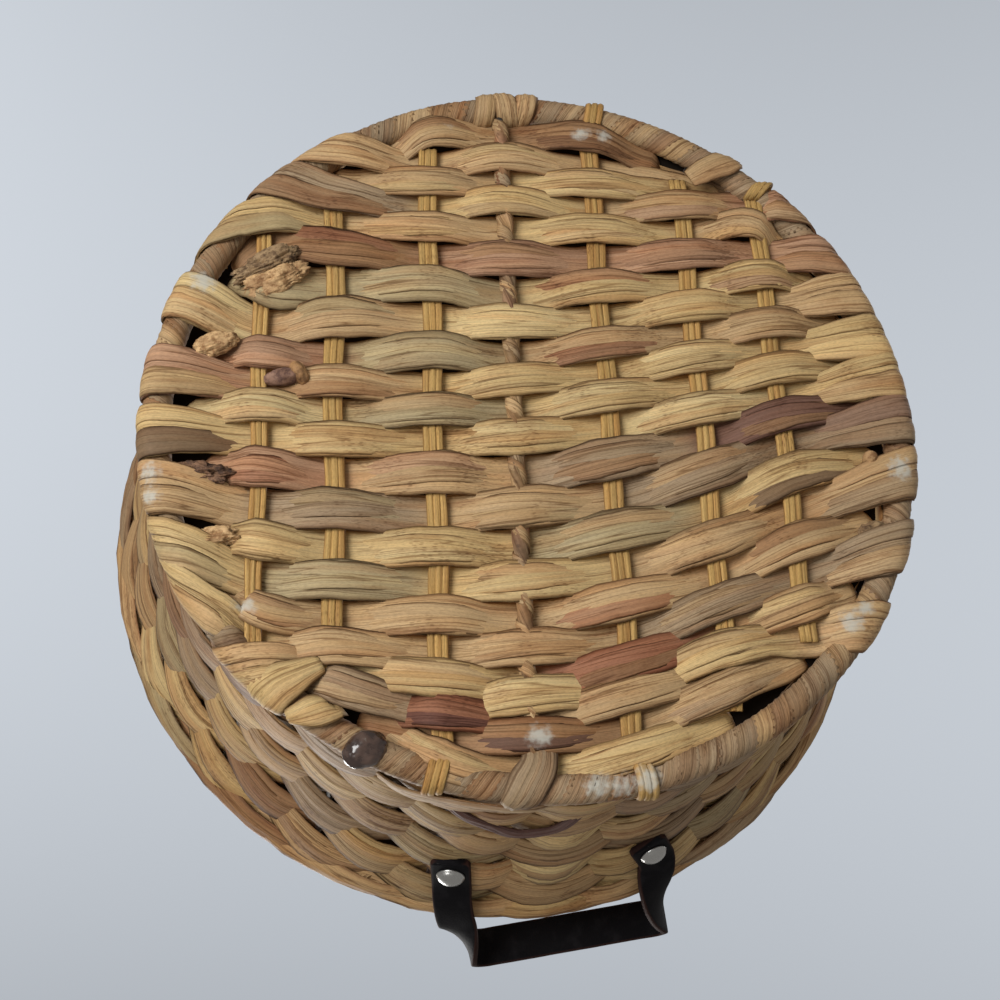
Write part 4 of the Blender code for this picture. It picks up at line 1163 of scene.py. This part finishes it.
rising = rivet_frame(1).to_3x3() @ Vector((0, 1, 0))
straps = {}
for word, half_turn in (("front", Matrix.Identity(4)), ("back", Matrix.Rotation(math.pi, 4, "Z"))):
    straps[word] = make_handle(word, half_turn)
print("handles:", list(straps))

# %% [markdown]
# ## Small things that make it this basket
# A gnarled leaf stub, two smaller ones, cut pegs, a dark knot of resin, a curled flap and
# the lashings of the middle bar sit on the base and its hoop. The lumps are finely divided
# balls that a layered noise pushes in and out; the rest are short strands.
# %% Lumps


def woody_material(name, dark, pale):
    made, tree, shader = plain_material(name)
    place = node(tree, "ShaderNodeTexCoord").outputs["Object"]
    crack = node(tree, "ShaderNodeTexNoise", {"Vector": place, "Scale": 320.0, "Detail": 6.0,
                 "Roughness": 0.7}).outputs["Fac"]
    broad = node(tree, "ShaderNodeTexNoise", {"Vector": place, "Scale": 90.0, "Detail": 3.0}).outputs["Fac"]
    colour = blend_colour(tree, ramp(tree, crack, 0.38, 0.58), tuple(from_screen(*dark)) + (1,),
                          tuple(from_screen(*pale)) + (1,))
    colour = blend_colour(tree, ramp(tree, broad, 0.45, 0.6), colour, (0.70, 0.64, 0.60, 1), "MULTIPLY")
    raised = node(tree, "ShaderNodeBump", {"Strength": 0.8, "Distance": 0.0007, "Height": crack})
    tree.links.new(colour, shader.inputs["Base Color"])
    tree.links.new(raised.outputs[0], shader.inputs["Normal"])
    tree.links.new(ramp(tree, crack, 0.3, 0.7, 0.85, 0.65), shader.inputs["Roughness"])
    return made


bark = woody_material("gnarled bark", (98, 74, 50), (158, 130, 94))
broken = woody_material("broken leaf", (150, 112, 72), (208, 172, 124))
dark_leaf = woody_material("dark crumpled leaf", (70, 48, 36), (128, 94, 68))
cut_end = woody_material("cut end", (112, 80, 48), (162, 122, 78))
rosy_skin = woody_material("rosy leaf skin", (104, 76, 66), (146, 112, 92))

resin, tree, shader = plain_material("dark resin")
place = node(tree, "ShaderNodeTexCoord").outputs["Object"]
cloud = node(tree, "ShaderNodeTexNoise", {"Vector": place, "Scale": 150.0, "Detail": 4.0}).outputs["Fac"]
colour = blend_colour(tree, ramp(tree, cloud, 0.42, 0.6), (0.030, 0.016, 0.012, 1), (0.075, 0.042, 0.030, 1))
# painted highlight: pale grey patches stand for the shine on the resin
colour = blend_colour(tree, ramp(tree, cloud, 0.62, 0.7), colour, (0.45, 0.42, 0.36, 1))
raised = node(tree, "ShaderNodeBump", {"Strength": 0.4, "Distance": 0.0006, "Height": cloud})
tree.links.new(colour, shader.inputs["Base Color"])
tree.links.new(raised.outputs[0], shader.inputs["Normal"])
tree.links.new(ramp(tree, cloud, 0.3, 0.7, 0.16, 0.40), shader.inputs["Roughness"])
shader.inputs["Coat Weight"].default_value = 0.6


def lump(name, u, v, z, size, heading, seed, finish, rough=0.35, ridges=1.0):
    """Uneven lump; size and place in millimetres, heading in degrees from the rows."""
    bm = bmesh.new()
    bmesh.ops.create_icosphere(bm, subdivisions=5, radius=1.0)
    stretch = Vector(size) / 2000
    for vert in bm.verts:
        spot = vert.co + Vector((seed * 3.1, seed * 1.7, seed * 0.9))
        swell = noise.fractal(spot * 1.1, 1.0, 2.0, 4) * rough
        crease = -abs(noise.noise(Vector((spot.x * 1.3, spot.y * 5.0, spot.z * 5.0)))) * rough * ridges
        vert.co = vert.co * (1 + swell + crease)
        vert.co = Vector((vert.co.x * stretch.x, vert.co.y * stretch.y, vert.co.z * stretch.z))
    move = (Matrix.Rotation(WEAVE_TURN, 4, "Z") @ Matrix.Translation((u / 1000, v / 1000, z / 1000))
            @ Matrix.Rotation(math.radians(heading), 4, "Z"))
    bm.transform(move)
    mesh = bpy.data.meshes.new(name)
    bm.to_mesh(mesh)
    bm.free()
    mesh.shade_smooth()
    mesh.materials.append(finish)
    made = bpy.data.objects.new(name, mesh)
    bpy.context.scene.collection.objects.link(made)
    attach(made, "basket")
    return made


lump("gnarled_stub", 101.5, 64.5, 3.9, (32, 11, 9), 153, 3, bark, 0.40, 1.3)
lump("broken_face", 98.5, 57.5, 3.4, (27, 12, 8), 154, 9, broken, 0.42, 0.9)
lump("small_stub", 120.5, 28.2, 4.0, (19, 9, 8), 158, 7, broken, 0.22, 1.2)
lump("dark_crumple", 124, -25, 5.0, (22, 9, 7), 185, 12, dark_leaf, 0.6, 1.4)
lump("pale_crumple", 118.5, -50.5, 4.5, (21, 8, 7), 178, 15, broken, 0.5, 1.2)
lump("cut_peg", 89.0, 16.2, 3.3, (6.4, 9.8, 8.5), 150, 31, cut_end, 0.10, 0.2)
lump("peg_stem", 95.0, 14.4, 3.2, (14, 6.8, 7), 170, 33, rosy_skin, 0.12, 0.5)
lump("small_peg", -131.0, -15.6, 3.0, (5.6, 5.6, 8), 0, 36, broken, 0.08, 0.2)
lump("dark_end", -129.5, -46, 6.0, (15, 9, 7), 165, 38, bark, 0.4, 1.2)
lump("resin_knot", 64.8, -129.0, 3.6, (16, 12.5, 9), 150, 21, resin, 0.13, 0.0)
print("lumps placed")

# %% Flap and lashings


def weave_strand(points, width, tint, seed, outward=(0, 0, -1), thick=0.0012, crown=0.0008, side=None, fine=3,
                 turned=None):
    """Short strand through points given in millimetres in the weave's directions."""
    points = np.array(points, float) / 1000
    run = np.concatenate([[0], np.cumsum(np.linalg.norm(np.diff(points, axis=0), axis=1))])
    at = np.linspace(0, run[-1], max(int(run[-1] / 0.0018), 8))
    path = np.stack([smooth(run, points[:, i], at) for i in range(3)], axis=1)
    widths = smooth(run, np.array(width, float) / 1000, at)
    tangent = unit(np.gradient(path, axis=0))
    outs = np.array(outward, float)
    if outs.ndim > 1:
        outs = np.stack([smooth(run, outs[:, i], at) for i in range(3)], axis=1)
    else:
        outs = np.broadcast_to(outs, path.shape)
    across = np.cross(unit(outs), tangent) if side is None else side
    strand = ribbon(path, across, widths, thick, tint, seed, outs, crown=crown, pleat=0.0003, folds=fine,
                    ragged=0.08)
    strand["verts"] = turn_weave(strand["verts"] if turned is None else turned(strand["verts"]))
    return strand


def at_hoop(angle_deg, swings, rise, push=0.0, drift=0.0):
    """Points and outward directions round the base hoop, in millimetres."""
    points, outs = hoop_fold(math.radians(angle_deg), np.radians(swings), rise / 1000, drift)
    tangent = np.array((-math.sin(math.radians(angle_deg)), math.cos(math.radians(angle_deg)), 0))
    slide = np.linspace(-push, push, len(points))
    return [p * 1000 + tangent * s for p, s in zip(points, slide)], outs


flap_points, flap_outs = at_hoop(-54.5, (-70, -35, 0, 30, 60), 1.6, 6)
flap = weave_strand([(73, -113.5, 5.0)] + flap_points, (9, 12, 13, 12, 9, 6), LEAF["s"], 81,
                    [(0, 0, -1)] + list(flap_outs))
strand_piece("curled_flap", [flap], "basket", LEAF_FINISH)
curl = weave_strand([(80, -99.0, 3.0), (87, -102.5, 1.6), (94, -106, 1.2), (100, -110, 1.2), (104.5, -114, 1.2)],
                    (7, 12, 16, 18, 15), LEAF["s"] * 0.98, 83, turned=bend_over_hoop)
folded_end = weave_strand([(-71, 111.5, 3.0), (-77.5, 115.0, 1.4), (-84, 118.2, 1.2), (-89.5, 120, 1.2), (-93, 121, 1.2)],
                          (9, 11.5, 12, 11, 8), LEAF["t"] * 0.92, 84, turned=bend_over_hoop)
strand_piece("folded_leaf_ends", [curl, folded_end], "basket", LEAF_FINISH)


def on_wall(places, width, tint, seed):
    """Strand on the wall through places of angle in degrees, height and distance out in millimetres."""
    points, outs = [], []
    for angle_deg, height, out in places:
        angle = math.radians(angle_deg)
        points.append(np.array(wall_point(angle, height / 1000, out / 1000)) * 1000)
        outs.append((math.sin(angle), -math.cos(angle), -math.sin(wall_lean(height / 1000))))
    return weave_strand(points, width, tint, seed, outs, turned=lambda verts: turn_back(verts))


def turn_back(points):
    """Undo the weave's turn, for a strand that is already given in the model's directions."""
    cosine, sine = math.cos(WEAVE_TURN), -math.sin(WEAVE_TURN)
    return np.stack([points[..., 0] * cosine - points[..., 1] * sine,
                     points[..., 0] * sine + points[..., 1] * cosine, points[..., 2]], axis=-1)


loose = [on_wall([(19.5, 29, 3.0), (17.0, 36, 5.2), (12.3, 48, 5.6), (7.0, 56, 5.7), (2.8, 52, 5.6), (0.2, 40, 5.0),
                  (-1.2, 30, 3.0)], (4, 6.5, 8.5, 9.5, 8.5, 6.5, 4), LEAF["v"] * 0.6 + LEAF["u"] * 0.4, 86),
         on_wall([(29, 29, 2.5), (25.7, 24, 5.6), (20, 18.5, 6.2), (14, 14.5, 6.2), (8, 12.5, 5.6), (4, 12, 3.0)],
                 (8, 12, 14, 14, 12, 8), LEAF["t"] * 0.86, 87)]
strand_piece("loose_wall_strands", loose, "basket", WALL_FINISH, chalky=False)

top_turns = []
for number, (angle_deg, push) in enumerate(((84.9, 3), (88.1, -3), (91.3, 3))):
    points, outs = at_hoop(angle_deg, range(-150, 151, 25), 1.0 + 0.3 * (number % 2), push)
    top_turns.append(weave_strand(points, [9.4] * len(points), LEAF["t"] * (0.9 + 0.08 * number), 90 + number, outs))
bottom = [weave_strand([(4.6, -126.5, 5.4), (4.6, -132.5, 3.0), (6.6, -138.5, 1.5), (9.4, -143.5, 1.5), (12.4, -148, 1.5),
                        (15.6, -152, 1.5)], (12, 13, 14.5, 14.5, 13, 9), LEAF["g"] * 0.92, 95, turned=bend_over_hoop)]
strand_piece("bar_lashings", top_turns + bottom, "basket", BINDING_FINISH)
print("small pieces placed")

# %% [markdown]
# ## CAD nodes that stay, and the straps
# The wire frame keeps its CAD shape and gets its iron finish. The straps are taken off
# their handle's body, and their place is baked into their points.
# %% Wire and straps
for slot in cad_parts["wire_frame"].material_slots:
    slot.material = iron
for word, sign in (("front", 1.0), ("back", -1.0)):
    along = Vector((0.0, rising.y * sign, rising.z)).normalized()
    straps[word].parent = None
    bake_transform(straps[word])
print("shown CAD nodes have their finish")

# %% [markdown]
# ## Floor, light and background
# The floor is one-sided: from above it is a pale tabletop that takes the shadow, and from
# below it isn't there, so the camera can look up at the base. In the photograph the
# basket's mouth is closed by the table that it lies on, so gaps in the weave look into
# the dark. A one-sided dark disc in the mouth does the same for a camera below, and
# neither shows nor shades anything from above.
# %% Stage


def one_sided(name, colour, from_below, far=None):
    made, tree, shader = plain_material(name)
    tree.nodes.remove(shader)
    place = node(tree, "ShaderNodeTexCoord").outputs["Object"]
    cloud = node(tree, "ShaderNodeTexNoise", {"Vector": place, "Scale": 2.5, "Detail": 3.0}).outputs["Fac"]
    tone = blend_colour(tree, cloud, tuple(c * 0.97 for c in colour) + (1,), tuple(c * 1.03 for c in colour) + (1,))
    face = node(tree, "ShaderNodeBsdfDiffuse", {"Color": tone})
    if far:      # far from the basket the floor takes the background's own tone
        away = node(tree, "ShaderNodeVectorMath", {0: place}, operation="LENGTH").outputs["Value"]
        glow = node(tree, "ShaderNodeEmission", {"Color": far + (1,)})
        face = node(tree, "ShaderNodeMixShader", {0: ramp(tree, away, 0.4, 1.8), 1: face.outputs[0], 2: glow.outputs[0]})
    clear = node(tree, "ShaderNodeBsdfTransparent")
    behind = node(tree, "ShaderNodeNewGeometry").outputs["Backfacing"]
    if from_below:
        behind = maths(tree, "SUBTRACT", 1.0, behind)
    mixed = node(tree, "ShaderNodeMixShader", {0: behind, 1: face.outputs[0], 2: clear.outputs[0]})
    tree.links.new(mixed.outputs[0], tree.nodes["Material Output"].inputs["Surface"])
    return made


def stage_disc(name, radius, height, finish, steps=96):
    bm = bmesh.new()
    bmesh.ops.create_circle(bm, cap_ends=True, segments=steps, radius=radius)
    for vert in bm.verts:
        if radius == BASE_RADIUS:      # in the base it follows the hoop's own outline
            angle = math.atan2(vert.co.y, vert.co.x) - WEAVE_TURN
            vert.co *= float(hoop_radius(angle) - 0.001) / radius
        vert.co.z = height
    bmesh.ops.recalc_face_normals(bm, faces=bm.faces)
    if bm.faces[:][0].normal.z < 0:
        bmesh.ops.reverse_faces(bm, faces=bm.faces)
    mesh = bpy.data.meshes.new(name)
    bm.to_mesh(mesh)
    bm.free()
    mesh.materials.append(finish)
    made = bpy.data.objects.new(name, mesh)
    bpy.context.scene.collection.objects.link(made)
    return made


floor = stage_disc("floor", 3.0, -0.0010, one_sided("pale tabletop", (0.56, 0.59, 0.64), False, (0.45, 0.48, 0.52)))
shade = one_sided("shade inside", (0.012, 0.009, 0.007), True)
shades = [stage_disc(f"shade_{number}", radius, height, shade) for number, (radius, height) in
          enumerate(((BASE_RADIUS, 0.0136), (0.1435, 0.050), (0.1475, 0.090), (0.1535, 0.117), (0.1575, 0.130)))]
for made in [floor] + shades:      # they are there for the camera only, so light passes them
    for flag in ("visible_diffuse", "visible_glossy", "visible_shadow", "visible_transmission"):
        setattr(made, flag, False)

world = bpy.data.worlds.new("studio")
bpy.context.scene.world = world
world.use_nodes = True
tree = world.node_tree
light = tree.nodes["Background"]
light.inputs["Color"].default_value = (1.0, 0.975, 0.935, 1)
light.inputs["Strength"].default_value = 0.33
sky_place = node(tree, "ShaderNodeTexCoord").outputs["Generated"]
sky_split = node(tree, "ShaderNodeSeparateXYZ", {0: sky_place})
east, north = sky_split.outputs[0], sky_split.outputs[1]
# painted light and shade on the background that the camera sees: its brightness falls off across it
fall_off = maths(tree, "ADD", 0.378, maths(tree, "MULTIPLY", east, maths(tree, "ADD", -0.185, maths(
    tree, "ADD", maths(tree, "MULTIPLY", east, 0.212), maths(tree, "MULTIPLY", north, 0.897)))))
fall_off = maths(tree, "ADD", fall_off, maths(tree, "MULTIPLY", north, maths(
    tree, "SUBTRACT", 1.037, maths(tree, "MULTIPLY", north, 1.108))))
fall_off = maths(tree, "MINIMUM", maths(tree, "MAXIMUM", fall_off, 0.46), 0.67)
pale = node(tree, "ShaderNodeCombineColor", {n: maths(tree, "MULTIPLY", fall_off, share)
            for n, share in enumerate((0.945, 1.010, 1.096))}).outputs[0]
seen = node(tree, "ShaderNodeBackground", {"Color": pale, "Strength": 1.0})
path_kind = node(tree, "ShaderNodeLightPath")
direct = maths(tree, "MAXIMUM", path_kind.outputs["Is Camera Ray"], path_kind.outputs["Is Transmission Ray"])
mixed = node(tree, "ShaderNodeMixShader", {0: direct, 1: light.outputs[0], 2: seen.outputs[0]})
tree.links.new(mixed.outputs[0], tree.nodes["World Output"].inputs["Surface"])


def area_lamp(name, place, size, power, colour=(1, 1, 1)):
    data = bpy.data.lights.new(name, "AREA")
    data.shape = "DISK"
    data.size, data.energy, data.color = size, power, colour
    lamp = bpy.data.objects.new(name, data)
    bpy.context.scene.collection.objects.link(lamp)
    lamp.location = place
    lamp.rotation_euler = (Vector((0, 0, 0.06)) - Vector(place)).to_track_quat("-Z", "Y").to_euler()
    return lamp


area_lamp("lamp_under_key", (0.78, 0.03, -1.02), 0.8, 15.5, (1.0, 0.995, 0.985))
area_lamp("lamp_over_key", (0.6, -0.5, 1.8), 0.9, 24, (1.0, 0.99, 0.97))
area_lamp("lamp_over_fill", (-1.1, 0.7, 1.0), 1.2, 9, (0.96, 0.98, 1.0))
bpy.context.scene.view_settings.view_transform = "Standard"
print("stage ready")

# %% [markdown]
# ## Finish
# %% Finish
bpy.context.view_layer.update()
